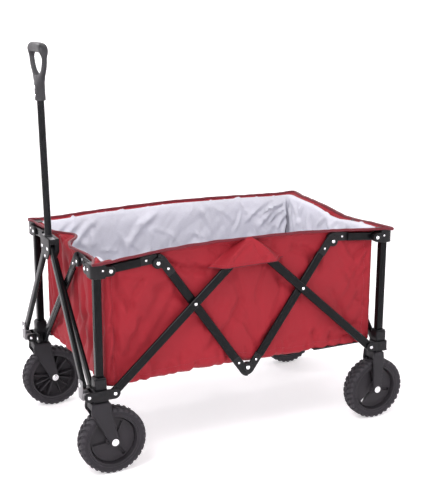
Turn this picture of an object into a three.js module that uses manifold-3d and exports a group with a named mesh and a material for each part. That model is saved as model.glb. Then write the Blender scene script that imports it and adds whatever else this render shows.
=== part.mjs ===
// Folding camp wagon: a fabric tub hung in a steel scissor frame on four wheels, with a tall pull handle.
// X runs forward to the handle, Y to the wagon's left, Z up. The origin is on the ground under the middle.
import * as THREE from "three";
import { mergeVertices } from "three/addons/utils/BufferGeometryUtils.js";
import Module from "manifold-3d";

const wasm = await Module();
wasm.setup();

// ---- Driving dimensions, in millimetres and degrees ----

const GAP = 0.4; // between pieces that touch on the real wagon
const RUNNING = 0.3; // radial clearance of a pin in its hole
const BITE = 1; // how far the pieces of one solid run into each other

// The middle of a corner post, from the wagon's middle, and the wheels that the wagon stands on.
const HALF_LENGTH = 426;
const HALF_WIDTH = 247;
const WHEEL = { radius: 89.5, width: 41, y: HALF_WIDTH, sides: 24 };
const PIVOT_HEIGHT = 2 * WHEEL.radius + 42; // lower frame pivots above the ground

// Frame bars: flattened steel tube.
const BAR_WIDTH = 24;
const BAR_DEPTH = 11;
const BAR_CORNER = 3.5;
const LAYER_GAP = 0.6; // between two bars that cross
const HINGE_OFFSET = 12.5; // hinge pin to the middle line of a bar that folds back on its neighbour
const HINGE_SLACK = 22; // how far a fold's floating hinge wanders between open and folded
const PIN_RADIUS = 4;
const RIVET_RADIUS = 5.5;
const RIVET_HEIGHT = 2;

// Side scissors. Heights are above the lower pivots, lengths from the wagon's middle.
const SIDE = {
  innerFace: HALF_WIDTH - 6.5, // inner face of the inner layer of bars
  lowerPivot: HALF_LENGTH - 36,
  topPivot: { u: HALF_LENGTH - 31, v: 323 },
  elbow: { u: HALF_LENGTH - 165, v: 323 },
  centreTop: 332,
  centreBottom: -1,
};

// End scissors, measured the same way across the wagon.
const END = {
  innerFace: HALF_LENGTH - 8.5,
  lowerPivot: HALF_WIDTH - 31,
  topPivot: { u: HALF_WIDTH - 31, v: 323 },
  elbow: { u: HALF_WIDTH - 142, v: 312 },
};

// Corner posts and their plastic brackets.
const POST = { x: HALF_LENGTH, y: HALF_WIDTH, size: 20, foot: -3, top: 336 };
const BRACKET = {
  outerX: HALF_LENGTH + 20,
  outerY: HALF_WIDTH + 22,
  clearance: 1,
  handleEar: 6,
};
const TOP_BRACKET = { bottom: 306, top: 343, boss: 13 };
const LOWER_BRACKET = { bottom: -16, top: 45, boss: 14 };
const CORNER_ROUND = 5;

// Wheel parts.
const TYRE = {
  inner: WHEEL.radius - 21.5,
  wall: 34,
  shoulder: WHEEL.radius - 7.5,
  edge: WHEEL.radius - 3,
  edgeWidth: 37,
  crown: 28,
};
const RIM = {
  web: 16,
  bore: 5,
  hub: 14,
  ring: WHEEL.radius - 29.5,
  slots: 3,
  slotWidth: 7,
  slotFrom: 18,
  slotTo: WHEEL.radius - 35.5,
};
const REAR_AXLE_X = 12 - HALF_LENGTH;
const SWIVEL_X = HALF_LENGTH + 4;
const TRAIL = 35;

// Forks.
const FORK = {
  wall: 6,
  sideGap: 1,
  crownBottom: 2 * WHEEL.radius + 4,
  shoulder: 2 * WHEEL.radius - 3,
  chamfer: 4,
  eye: 13,
};
const FRONT_FORK = { width: 56, topGap: 3 };
const REAR_FORK = { width: 38, topGap: GAP };
const KINGPIN = { radius: 7, length: 9 };
const AXLE_HEAD = { radius: 8, thickness: 2.6 };

// Pull handle.
const TILT_PIVOT_X = HALF_LENGTH + 34;
const YOKE = { plate: 3, web: TILT_PIVOT_X + 14.4, top: 45, bottom: -6, cheek: 12 };
const LEG = { width: 20, depth: 12, foot: 30, head: 331, headY: 22 };
const HEAD = { plate: 5, top: 356, halfTop: 36, shoulder: 325, foot: 300, halfFoot: 13, spacer: 308 };
const COLLAR = { radius: 11.75, height: 13 };
const POLE = { radius: 8.75, foot: 346, top: 736, lean: 1.2 };
const GRIP = { width: 110, height: 128, depth: 26, bevel: 5, bar: 25, side: 15, corner: 26 };
const STEM = { halfWidth: 13, overlap: 24, neck: 16, waist: 42, sill: 50, halfSill: 14 };

// Fabric tub.
const TUB = {
  halfLength: HALF_LENGTH - 19,
  halfWidth: HALF_WIDTH - 7.5,
  wall: 4,
  top: 350,
  hem: 14,
};
const FLOOR = { thickness: 4, bottom: 8, margin: 5 };

// Sides of the round pieces.
const FACETS = { pin: 8, hole: 10, disc: 12 };

// ---- Materials ----

const finish = (color, roughness, metalness) =>
  new THREE.MeshStandardMaterial({ color, roughness, metalness });
const blackSteel = finish(0x1b1c20, 0.25, 0.6);
const greySteel = finish(0xa9a6a8, 0.35, 0.8);
const blackPlastic = finish(0x2b282c, 0.55, 0);
const wheelPlastic = finish(0x3a373c, 0.6, 0);
const tyreRubber = finish(0x39363b, 0.8, 0);
const zincSteel = finish(0xc8c8ca, 0.25, 1);
const redFabric = finish(0xa53041, 0.85, 0);
const floorBoard = finish(0x26262a, 0.85, 0);

// ---- Solids ----

// A closed geometry as a manifold solid.
function solid(geometry) {
  const bare = geometry.clone();
  for (const name of Object.keys(bare.attributes)) {
    if (name !== "position") bare.deleteAttribute(name);
  }
  const merged = mergeVertices(bare, 1e-4);
  return new wasm.Manifold(
    new wasm.Mesh({
      numProp: 3,
      vertProperties: new Float32Array(merged.attributes.position.array),
      triVerts: new Uint32Array(merged.index.array),
    }),
  );
}

function meshOf(name, shape, material) {
  const { vertProperties, triVerts } = shape.getMesh();
  const geometry = new THREE.BufferGeometry();
  geometry.setAttribute("position", new THREE.BufferAttribute(vertProperties, 3));
  geometry.setIndex(new THREE.BufferAttribute(triVerts, 1));
  const mesh = new THREE.Mesh(geometry, material);
  mesh.name = name;
  return mesh;
}

const join = (first, ...others) => others.reduce((whole, piece) => whole.add(piece), first);
const cut = (first, ...tools) => tools.reduce((whole, tool) => whole.subtract(tool), first);

function block([x0, x1], [y0, y1], [z0, z1]) {
  const box = new THREE.BoxGeometry(x1 - x0, y1 - y0, z1 - z0);
  return solid(box.translate((x0 + x1) / 2, (y0 + y1) / 2, (z0 + z1) / 2));
}

// Turns an extrusion's own axes (shape x, shape y, depth) to the given directions, in cyclic order.
function turned(geometry, across, up, along) {
  const axes = new THREE.Matrix4().makeBasis(across, up, along);
  return geometry.applyMatrix4(axes);
}

const X = new THREE.Vector3(1, 0, 0);
const Y = new THREE.Vector3(0, 1, 0);
const Z = new THREE.Vector3(0, 0, 1);

// A round bar along an axis, from one station on it to another.
function rod(axis, radius, [from, to], centre, sides = FACETS.hole) {
  const geometry = new THREE.CylinderGeometry(radius, radius, to - from, sides);
  geometry.rotateX(Math.PI / 2).translate(0, 0, (from + to) / 2);
  if (axis === X) turned(geometry, Y, Z, X);
  if (axis === Y) turned(geometry, Z, X, Y);
  return solid(geometry.translate(...centre));
}

// An outline extruded along an axis: drawn as (y, z) along X, (x, z) along Y, and (x, y) along Z.
function prism(axis, shape, [from, to], curveSegments = 6) {
  const geometry = new THREE.ExtrudeGeometry(shape, {
    depth: to - from,
    bevelEnabled: false,
    curveSegments,
  });
  if (axis === Y) return solid(turned(geometry, X, Z, Y.clone().negate()).translate(0, to, 0));
  if (axis === X) turned(geometry, Y, Z, X);
  const shift = axis === X ? [from, 0, 0] : [0, 0, from];
  return solid(geometry.translate(...shift));
}

function outline(points) {
  return new THREE.Shape(points.map(([x, y]) => new THREE.Vector2(x, y)));
}

function roundedRect(x0, x1, y0, y1, radius) {
  const shape = new THREE.Shape();
  shape.moveTo(x0 + radius, y0);
  shape.lineTo(x1 - radius, y0);
  shape.absarc(x1 - radius, y0 + radius, radius, -Math.PI / 2, 0);
  shape.absarc(x1 - radius, y1 - radius, radius, 0, Math.PI / 2);
  shape.absarc(x0 + radius, y1 - radius, radius, Math.PI / 2, Math.PI);
  shape.absarc(x0 + radius, y0 + radius, radius, Math.PI, 1.5 * Math.PI);
  return shape;
}

// A wheel-like solid about the Y axis, from a closed section of [radius, y] points.
function turnedRing(section, sides) {
  // The flats, not the corners, lie at the stated radius, and one flat faces straight down.
  const reach = 1 / Math.cos(Math.PI / sides);
  const points = section.map(([r, y]) => new THREE.Vector2(r * reach, y));
  points.push(points[0].clone());
  const ring = new THREE.LatheGeometry(points, sides);
  return solid(ring.rotateY(Math.PI / sides));
}

// ---- Bars of a scissor face ----
// A face is drawn flat: u along it from the wagon's middle, v up from the lower pivots, w outward.

const HALF_BAR = BAR_WIDTH / 2;
const layerOf = (face, number) => face.innerFace + number * (BAR_DEPTH + LAYER_GAP);
const earOf = (face) => layerOf(face, 1) + BAR_DEPTH + GAP;

const at = (u, v) => new THREE.Vector2(u, v);

// A straight tube from p to q, its inner face at depth w.
function tube(p, q, w) {
  const run = q.clone().sub(p);
  const length = run.length();
  const section = roundedRect(-HALF_BAR, HALF_BAR, 0, BAR_DEPTH, BAR_CORNER);
  const geometry = new THREE.ExtrudeGeometry(section, {
    depth: length,
    bevelEnabled: false,
    curveSegments: 1,
  });
  const along = new THREE.Vector3(run.x, run.y, 0).normalize();
  turned(geometry, new THREE.Vector3(-along.y, along.x, 0), Z, along);
  return solid(geometry.translate(p.x, p.y, w));
}

// The half-thickness tongue that carries a bar round a hinge pin beside the bar's middle line.
// side is 1 where the pin lies to the right of the way from tail to tip, and -1 to the left.
function tongue(pin, tail, direction, side, turn, [from, to]) {
  const reach = HINGE_OFFSET + HALF_BAR;
  const shape = new THREE.Shape();
  shape.moveTo(-tail, HINGE_OFFSET - HALF_BAR);
  shape.lineTo(0, 0);
  shape.lineTo(reach * Math.sin(turn), reach * Math.cos(turn));
  shape.absarc(0, 0, reach, Math.PI / 2 - turn, Math.PI / 2);
  shape.lineTo(-tail, reach);
  const geometry = new THREE.ExtrudeGeometry(shape, {
    depth: to - from,
    bevelEnabled: false,
    curveSegments: 4,
  });
  const plate = solid(geometry.translate(0, 0, from));
  const knuckle = rod(Z, HINGE_OFFSET, [from, to], [0, 0, 0], FACETS.disc);
  const angle = (Math.atan2(direction.y, direction.x) * 180) / Math.PI;
  const flat = join(plate, knuckle);
  const facing = side > 0 ? flat : flat.mirror([0, 1, 0]);
  return facing.rotate([0, 0, angle]).translate([pin.x, pin.y, 0]);
}

const headOn = (pin, w) =>
  rod(Z, RIVET_RADIUS, [w - BITE, w + RIVET_HEIGHT], [pin.x, pin.y, 0], FACETS.pin);
const shaft = (pin, [from, to]) =>
  rod(Z, PIN_RADIUS, [from, to], [pin.x, pin.y, 0], FACETS.pin);
const hole = (pin, [from, to]) =>
  rod(Z, PIN_RADIUS + RUNNING, [from, to], [pin.x, pin.y, 0]);
const eye = (pin, w) => rod(Z, HALF_BAR, [w, w + BAR_DEPTH], [pin.x, pin.y, 0], FACETS.disc);

const FULL_CUT = 40; // how far a hole runs past both faces of a bar

// Tube length kept clear of a hinge, so that the neighbour's tongue never meets the full tube.
const LAP = HINGE_OFFSET + HALF_BAR + HINGE_SLACK;
const TONGUE_TAIL = LAP + BITE;

// A bar described by its middle line and what each end is: an eye round a pin, or a tongue.
function bar({ from, to, w, ends, holes = [], pins = [], heads = [] }) {
  const direction = to.clone().sub(from).normalize();
  const back = direction.clone().negate();
  const half = (BAR_DEPTH - LAYER_GAP) / 2;
  const station = (pin) => pin.clone().sub(from).dot(direction);
  const pieces = [];
  const reach = ends.map((end, i) => {
    const s = station(end.pin);
    if (end.kind === "eye") {
      pieces.push(eye(end.pin, w));
      return s;
    }
    const start = end.outer ? w + BAR_DEPTH - half : w;
    const heading = i === 0 ? back : direction;
    pieces.push(tongue(end.pin, TONGUE_TAIL, heading, end.side, end.turn, [start, start + half]));
    return i === 0 ? s + LAP : s - LAP;
  });
  const p = from.clone().addScaledVector(direction, reach[0]);
  const q = from.clone().addScaledVector(direction, reach[1]);
  let made = join(tube(p, q, w), ...pieces);
  made = cut(made, ...holes.map((pin) => hole(pin, [w - FULL_CUT, w + FULL_CUT])));
  return join(made, ...pins, ...heads.map((pin) => headOn(pin, w + BAR_DEPTH)));
}

const mirrored = (point) => at(-point.u, point.v);

// Where the middle line of a bar runs, given a hinge pin that it passes at the hinge offset.
function offsetPoint(pin, other, side) {
  const way = other.clone().sub(pin).normalize();
  const normal = at(-way.y, way.x);
  return pin.clone().addScaledVector(normal, side * HINGE_OFFSET);
}

// The point at which two lines cross.
function crossing(a, b, c, d) {
  const r = b.clone().sub(a);
  const s = d.clone().sub(c);
  const along = c.clone().sub(a).cross(s) / r.cross(s);
  return a.clone().addScaledVector(r, along);
}

const angleBetween = (a, b) => Math.abs(Math.atan2(a.cross(b), a.dot(b)));

// The middle line through pin "through" that passes pin "beside" at the hinge offset.
function lineFrom(through, beside, side) {
  const run = beside.clone().sub(through);
  const swing = Math.asin(HINGE_OFFSET / run.length()) * side;
  return through.clone().add(run.rotateAround(at(0, 0), swing));
}

// Side face: two crossing bars and a short link at each end, hinged together in the middle.
function sideBars(suffix, name) {
  const inner = layerOf(SIDE, 0);
  const outer = layerOf(SIDE, 1);
  const foot = at(SIDE.lowerPivot, 0);
  const topPin = at(SIDE.topPivot.u, SIDE.topPivot.v);
  const elbow = at(SIDE.elbow.u, SIDE.elbow.v);
  const crown = at(0, SIDE.centreTop);
  const base = at(0, SIDE.centreBottom);
  const braceTip = lineFrom(foot, crown, -1);
  const strutFoot = offsetPoint(base, elbow, -1);
  const strutTip = offsetPoint(elbow, base, -1);
  const linkTip = lineFrom(topPin, elbow, -1);
  const cross = crossing(foot, braceTip, strutFoot, strutTip);
  const braceRun = braceTip.clone().sub(foot);
  const strutRun = strutTip.clone().sub(strutFoot);
  const linkRun = linkTip.clone().sub(topPin);
  const rear = name === "rear";
  const half = (BAR_DEPTH - LAYER_GAP) / 2;
  const level = at(-1, 0);

  const brace = bar({
    from: foot,
    to: braceTip,
    w: outer,
    ends: [
      { kind: "eye", pin: foot },
      { kind: "tongue", pin: crown, side: -1, turn: angleBetween(braceRun, level), outer: !rear },
    ],
    holes: rear ? [foot, crown] : [foot],
    pins: [
      shaft(cross, [inner, outer + BITE]),
      ...(rear ? [] : [shaft(crown, [outer, outer + half + BITE])]),
    ],
    heads: rear ? [cross] : [cross, crown],
  });

  const strut = bar({
    from: strutFoot,
    to: strutTip,
    w: inner,
    ends: [
      { kind: "tongue", pin: base, side: 1, turn: angleBetween(strutRun, at(1, 0)), outer: !rear },
      { kind: "tongue", pin: elbow, side: 1, turn: angleBetween(strutRun, at(1, 0)), outer: true },
    ],
    holes: [cross],
    heads: rear ? [elbow] : [elbow, base],
  });

  const link = bar({
    from: topPin,
    to: linkTip,
    w: inner,
    ends: [
      { kind: "eye", pin: topPin },
      { kind: "tongue", pin: elbow, side: -1, turn: angleBetween(linkRun, strutRun.negate()),
        outer: false },
    ],
    holes: [topPin],
  });

  return [
    meshOf(`side_brace_${suffix}`, brace, blackSteel),
    meshOf(`side_strut_${suffix}`, strut, blackSteel),
    meshOf(`side_link_${suffix}`, link, blackSteel),
  ];
}

// End face: one long bar from a lower corner to the elbow under the other top corner, and its link.
function endBar(name, linkName, number) {
  const w = layerOf(END, number);
  const foot = at(END.lowerPivot, 0);
  const elbow = mirrored(END.elbow);
  const topPin = mirrored(END.topPivot);
  const barTip = lineFrom(foot, elbow, -1);
  const linkTip = lineFrom(topPin, elbow, 1);
  const run = barTip.clone().sub(foot);
  const cross = crossing(foot, barTip, at(0, 0), at(0, 1));
  const linkRun = linkTip.clone().sub(topPin);
  const turn = angleBetween(run, linkRun.clone().negate());
  const below = number === 0;

  const long = bar({
    from: foot,
    to: barTip,
    w,
    ends: [
      { kind: "eye", pin: foot },
      { kind: "tongue", pin: elbow, side: -1, turn, outer: true },
    ],
    holes: below ? [foot, cross] : [foot],
    pins: below ? [] : [shaft(cross, [layerOf(END, 0), w + BITE])],
    heads: below ? [elbow] : [cross, elbow],
  });
  const link = bar({
    from: topPin,
    to: linkTip,
    w,
    ends: [
      { kind: "eye", pin: topPin },
      { kind: "tongue", pin: elbow, side: 1, turn, outer: false },
    ],
    holes: [topPin],
  });
  return [meshOf(name, long, blackSteel), meshOf(linkName, link, blackSteel)];
}

// ---- Corners: built at the front left, and mirrored to the other three ----

const up = (v) => v + PIVOT_HEIGHT;

function post(name) {
  const half = POST.size / 2;
  const section = roundedRect(
    POST.x - half, POST.x + half, POST.y - half, POST.y + half, BAR_CORNER);
  return meshOf(name, prism(Z, section, [up(POST.foot), up(POST.top)], 1), blackSteel);
}

// The pocket that a post stands in, open towards the post.
function socket(from, to) {
  const half = POST.size / 2 + GAP;
  return block([POST.x - half, POST.x + half], [POST.y - half, POST.y + half], [from, to]);
}

// The upright block of a corner bracket, clear of the ends of the bars.
const blockInner = {
  x: SIDE.topPivot.u + HALF_BAR + BRACKET.clearance,
  y: END.lowerPivot + HALF_BAR + BRACKET.clearance,
};

function cornerBlock(bottom, top) {
  const section = roundedRect(
    blockInner.x, BRACKET.outerX, blockInner.y, BRACKET.outerY, CORNER_ROUND);
  return prism(Z, section, [bottom, top], 2);
}

// An ear that runs into the corner block and carries a pin along the given axis.
function ear(axis, pin, boss, [inner, outer], shaftFrom) {
  const z = up(pin.v);
  const hub = axis === Y ? [pin.u, 0, z] : [0, pin.u, z];
  const arm = axis === Y
    ? [[pin.u, POST.x], [inner, outer]]
    : [[inner, outer], [pin.u, POST.y]];
  return join(
    rod(axis, boss, [inner, outer], hub, FACETS.disc),
    block(...arm, [z - boss + BITE, z + boss - BITE]),
    rod(axis, PIN_RADIUS, [shaftFrom, inner + BITE], hub, FACETS.pin),
    rod(axis, RIVET_RADIUS, [outer - BITE, outer + RIVET_HEIGHT], hub, FACETS.pin),
  );
}

function topBracket(name) {
  const z0 = up(TOP_BRACKET.bottom);
  const z1 = up(TOP_BRACKET.top);
  const sideInner = layerOf(SIDE, 0) + BAR_DEPTH + GAP;
  const made = join(
    cornerBlock(z0, z1),
    ear(Y, SIDE.topPivot, TOP_BRACKET.boss, [sideInner, BRACKET.outerY], layerOf(SIDE, 0)),
    ear(X, END.topPivot, TOP_BRACKET.boss, [earOf(END), BRACKET.outerX], layerOf(END, 0)),
  );
  return meshOf(name, cut(made, socket(z0 - BITE, up(POST.top) + GAP)), blackPlastic);
}

function lowerBracket(name, carriesHandle) {
  const z0 = up(LOWER_BRACKET.bottom);
  const z1 = up(LOWER_BRACKET.top);
  const foot = { u: SIDE.lowerPivot, v: 0 };
  const endFoot = { u: END.lowerPivot, v: 0 };
  let made = join(
    cornerBlock(z0, z1),
    ear(Y, foot, LOWER_BRACKET.boss, [earOf(SIDE), BRACKET.outerY], layerOf(SIDE, 1)),
    ear(X, endFoot, LOWER_BRACKET.boss, [earOf(END), BRACKET.outerX], layerOf(END, 0)),
  );
  if (carriesHandle) made = join(made, ...handleEars());
  made = cut(made, socket(up(POST.foot) - GAP, z1 + BITE));
  if (carriesHandle) {
    const depth = [z0 - BITE, z0 + KINGPIN.length + GAP];
    const swivel = [SWIVEL_X, WHEEL.y, 0];
    made = cut(made, rod(Z, KINGPIN.radius + RUNNING, depth, swivel, FACETS.disc));
  }
  return meshOf(name, made, blackPlastic);
}

// Two ears and the pin that the handle's yoke tilts on, with the yoke's room between the ears.
const yokeRoom = [blockInner.y + BRACKET.handleEar, BRACKET.outerY - BRACKET.handleEar];

function handleEars() {
  const pivot = [TILT_PIVOT_X, 0, up(0)];
  const height = [up(-YOKE.cheek), up(YOKE.cheek)];
  const plates = [[blockInner.y, yokeRoom[0]], [yokeRoom[1], BRACKET.outerY]].flatMap((span) => [
    rod(Y, YOKE.cheek, span, pivot, FACETS.disc),
    block([POST.x, TILT_PIVOT_X], span, height),
  ]);
  const pin = [yokeRoom[0] - BITE, yokeRoom[1] + BITE];
  const head = [BRACKET.outerY - BITE, BRACKET.outerY + RIVET_HEIGHT];
  return [
    ...plates,
    rod(Y, PIN_RADIUS, pin, pivot, FACETS.pin),
    rod(Y, RIVET_RADIUS, head, pivot, FACETS.pin),
  ];
}

// ---- Wheels and forks, round a wheel centre at x ----

function tyre(name, x) {
  const w = WHEEL.width / 2;
  const section = [
    [TYRE.inner + GAP, -TYRE.wall / 2],
    [TYRE.shoulder, -w],
    [TYRE.edge, -TYRE.edgeWidth / 2],
    [WHEEL.radius, -TYRE.crown / 2],
    [WHEEL.radius, TYRE.crown / 2],
    [TYRE.edge, TYRE.edgeWidth / 2],
    [TYRE.shoulder, w],
    [TYRE.inner + GAP, TYRE.wall / 2],
  ];
  const ring = turnedRing(section, WHEEL.sides);
  return meshOf(name, ring.translate([x, WHEEL.y, WHEEL.radius]), tyreRubber);
}

function rim(name, x) {
  const w = WHEEL.width / 2;
  const section = [
    [RIM.bore + RUNNING, -w],
    [RIM.hub, -w],
    [RIM.hub, -RIM.web / 2],
    [RIM.ring, -RIM.web / 2],
    [TYRE.inner, -TYRE.wall / 2],
    [TYRE.inner, TYRE.wall / 2],
    [RIM.ring, RIM.web / 2],
    [RIM.hub, RIM.web / 2],
    [RIM.hub, w],
    [RIM.bore + RUNNING, w],
  ];
  let made = turnedRing(section, WHEEL.sides);
  const slot = block(
    [-RIM.slotWidth / 2, RIM.slotWidth / 2],
    [-RIM.web, RIM.web],
    [RIM.slotFrom, RIM.slotTo],
  );
  for (let i = 0; i < RIM.slots; i += 1) {
    made = made.subtract(slot.rotate([0, (360 / RIM.slots) * i, 0]));
  }
  return meshOf(name, made.translate([x, WHEEL.y, WHEEL.radius]), wheelPlastic);
}

const forkInner = WHEEL.width / 2 + FORK.sideGap;
const forkOuter = forkInner + FORK.wall;

// A crown over the wheel and a plate down each side to the axle. lean is how far the crown's
// middle stands ahead of the axle.
function forkSolid(x, lean, { width, topGap }) {
  const crown = x + lean;
  const half = width / 2;
  const top = up(LOWER_BRACKET.bottom) - topGap;
  const profile = outline([
    [x - FORK.eye, WHEEL.radius],
    [x + FORK.eye, WHEEL.radius],
    [crown + half, FORK.shoulder],
    [crown + half - FORK.chamfer, top],
    [crown - half + FORK.chamfer, top],
    [crown - half, FORK.shoulder],
  ]);
  const plates = [[-forkOuter, -forkInner], [forkInner, forkOuter]].flatMap((span) => {
    const y = span.map((value) => value + WHEEL.y);
    return [prism(Y, profile, y), rod(Y, FORK.eye, y, [x, 0, WHEEL.radius], FACETS.disc)];
  });
  const cap = block(
    [crown - half + FORK.chamfer, crown + half - FORK.chamfer],
    [WHEEL.y - forkInner - BITE, WHEEL.y + forkInner + BITE],
    [FORK.crownBottom, top],
  );
  const bore = rod(
    Y, RIM.bore + RUNNING, [WHEEL.y - FULL_CUT, WHEEL.y + FULL_CUT], [x, 0, WHEEL.radius]);
  return cut(join(cap, ...plates), bore);
}

function axle(name, x) {
  const reach = forkOuter + GAP;
  const middle = [x, WHEEL.y, WHEEL.radius];
  const heads = [[-reach - AXLE_HEAD.thickness, -reach], [reach, reach + AXLE_HEAD.thickness]];
  const made = join(
    rod(Y, RIM.bore, [-reach - BITE, reach + BITE], middle, FACETS.hole),
    ...heads.map((span) => rod(Y, AXLE_HEAD.radius, span, middle, FACETS.hole)),
  );
  return meshOf(name, made, zincSteel);
}

function rearFork(name) {
  return meshOf(name, forkSolid(REAR_AXLE_X, 0, REAR_FORK), blackPlastic);
}

function frontFork(name) {
  const underside = up(LOWER_BRACKET.bottom);
  const reach = [underside - FRONT_FORK.topGap - BITE, underside + KINGPIN.length];
  const kingpin = rod(Z, KINGPIN.radius, reach, [SWIVEL_X, WHEEL.y, 0], FACETS.hole);
  const fork = forkSolid(SWIVEL_X - TRAIL, TRAIL, FRONT_FORK);
  return meshOf(name, join(fork, kingpin), blackPlastic);
}

// ---- Pull handle ----

const legX = [YOKE.web - GAP - LEG.depth, YOKE.web - GAP];
const legPinX = (legX[0] + legX[1]) / 2;

// A folded plate that tilts on the corner's ears. The leg stands on its foot pin.
function yoke(name, pinned) {
  const [y0, y1] = [yokeRoom[0] + GAP, yokeRoom[1] - GAP];
  const pivot = [TILT_PIVOT_X, 0, up(0)];
  const foot = [0, POST.y, up(LEG.foot)];
  const radius = YOKE.cheek - BITE;
  const face = YOKE.web + YOKE.plate;
  const web = block([YOKE.web, face], [y0, y1], [up(YOKE.bottom), up(YOKE.top)]);
  const cheeks = [[y0, y0 + YOKE.plate], [y1 - YOKE.plate, y1]].flatMap((span) => [
    rod(Y, radius, span, pivot, FACETS.disc),
    block([TILT_PIVOT_X, YOKE.web + BITE], span, [up(YOKE.bottom), up(radius)]),
  ]);
  const bore = rod(Y, PIN_RADIUS + RUNNING, [y0 - BITE, y1 + BITE], pivot);
  const head = rod(X, RIVET_RADIUS, [face - BITE, face + RIVET_HEIGHT], foot, FACETS.pin);
  const footPin = rod(X, PIN_RADIUS, [legX[0] - RIVET_HEIGHT, face], foot, FACETS.pin);
  const plate = join(cut(join(web, ...cheeks), bore), head);
  return meshOf(name, pinned ? join(plate, footPin) : plate, greySteel);
}

function leg(name) {
  const foot = new THREE.Vector2(POST.y, up(LEG.foot));
  const head = new THREE.Vector2(LEG.headY, up(LEG.head));
  const run = head.clone().sub(foot);
  const half = LEG.width / 2;
  const section = roundedRect(-half, half, 0, LEG.depth, BAR_CORNER);
  const geometry = new THREE.ExtrudeGeometry(section, {
    depth: run.length(),
    bevelEnabled: false,
    curveSegments: 1,
  });
  const along = new THREE.Vector3(0, run.x, run.y).normalize();
  turned(geometry, along.clone().cross(X).negate(), X, along);
  const shaftTube = solid(geometry.translate(legX[0], foot.x, foot.y));
  const eyes = [foot, head].map((pin) => rod(X, half, legX, [0, pin.x, pin.y], FACETS.disc));
  const reach = [legX[0] - BITE, legX[1] + BITE];
  const holes = [foot, head].map((pin) =>
    rod(X, PIN_RADIUS + RUNNING, reach, [0, pin.x, pin.y]));
  return meshOf(name, cut(join(shaftTube, ...eyes), ...holes), blackSteel);
}

// The pole and the grip lean forward a little together, from the pole's foot in the head.
const poleLength = POLE.top - POLE.foot;

// The pole's head joins the legs: two tapered plates, a solid top, and a collar round the pole.
function pole(name) {
  const front = legX[1] + GAP;
  const rear = legX[0] - GAP - HEAD.plate;
  const face = front + HEAD.plate;
  const profile = outline([
    [-HEAD.halfFoot, up(HEAD.foot)],
    [HEAD.halfFoot, up(HEAD.foot)],
    [HEAD.halfTop, up(HEAD.shoulder)],
    [HEAD.halfTop, up(HEAD.top)],
    [-HEAD.halfTop, up(HEAD.top)],
    [-HEAD.halfTop, up(HEAD.shoulder)],
  ]);
  const between = [rear + BITE, front + BITE];
  const pins = [-LEG.headY, LEG.headY].flatMap((y) => [
    rod(X, PIN_RADIUS, between, [0, y, up(LEG.head)], FACETS.pin),
    rod(X, RIVET_RADIUS, [face - BITE, face + RIVET_HEIGHT], [0, y, up(LEG.head)], FACETS.pin),
  ]);
  const made = join(
    block([rear, face], [-HEAD.halfTop, HEAD.halfTop], [up(LEG.head) + LEG.width / 2 + GAP, up(HEAD.top)]),
    prism(X, profile, [front, face]),
    prism(X, profile, [rear, rear + HEAD.plate]),
    ...pins,
    rod(X, PIN_RADIUS, between, [0, 0, up(HEAD.spacer)], FACETS.pin),
    rod(Z, COLLAR.radius, [up(HEAD.top) - BITE, up(HEAD.top) + COLLAR.height], [legPinX, 0, 0],
      FACETS.disc),
    rod(Z, POLE.radius, [0, poleLength], [0, 0, 0], FACETS.disc)
      .rotate([0, POLE.lean, 0])
      .translate([legPinX, 0, up(POLE.foot)]),
  );
  return meshOf(name, made, blackSteel);
}

// A D-shaped grip with a finger opening, on a stem that sleeves over the pole's top.
function grip(name) {
  const foot = poleLength - STEM.overlap;
  const top = poleLength + GRIP.height;
  const neck = poleLength + STEM.neck;
  const waist = poleLength + STEM.waist;
  const shoulder = top - 1.4 * GRIP.bar;
  const swell = shoulder - 1.36 * GRIP.bar;
  const half = GRIP.width / 2;
  const crown = half - GRIP.corner;
  const stem = STEM.halfWidth;
  const shape = new THREE.Shape();
  shape.moveTo(-stem, foot);
  shape.lineTo(stem, foot);
  shape.lineTo(stem, neck);
  shape.bezierCurveTo(stem + 6, waist, half - 2, swell, half, shoulder);
  shape.bezierCurveTo(half, top - 8, crown + 14, top, crown, top);
  shape.lineTo(-crown, top);
  shape.bezierCurveTo(-crown - 14, top, -half, top - 8, -half, shoulder);
  shape.bezierCurveTo(-half + 2, swell, -stem - 6, waist, -stem, neck);

  const inner = half - GRIP.side;
  const ceiling = top - GRIP.bar;
  const sill = poleLength + STEM.sill;
  const opening = new THREE.Path();
  opening.moveTo(-STEM.halfSill, sill);
  opening.bezierCurveTo(-inner + 6, sill + 6, -inner, ceiling - 24, -inner + 1, ceiling - 8);
  opening.lineTo(-inner + 8, ceiling);
  opening.lineTo(inner - 8, ceiling);
  opening.lineTo(inner - 1, ceiling - 8);
  opening.bezierCurveTo(inner, ceiling - 24, inner - 6, sill + 6, STEM.halfSill, sill);
  shape.holes.push(opening);

  const geometry = new THREE.ExtrudeGeometry(shape, {
    depth: GRIP.depth - 2 * GRIP.bevel,
    bevelThickness: GRIP.bevel,
    bevelSize: GRIP.bevel,
    bevelOffset: -GRIP.bevel,
    bevelSegments: 2,
    curveSegments: 6,
  });
  turned(geometry, Y, Z, X).translate(-GRIP.depth / 2 + GRIP.bevel, 0, 0);
  const bore = rod(
    Z, POLE.radius + GAP, [foot - BITE, poleLength + GAP], [0, 0, 0], FACETS.disc);
  return meshOf(name, cut(solid(geometry), bore), blackPlastic);
}

// ---- Fabric tub: plain panels ----

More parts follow.
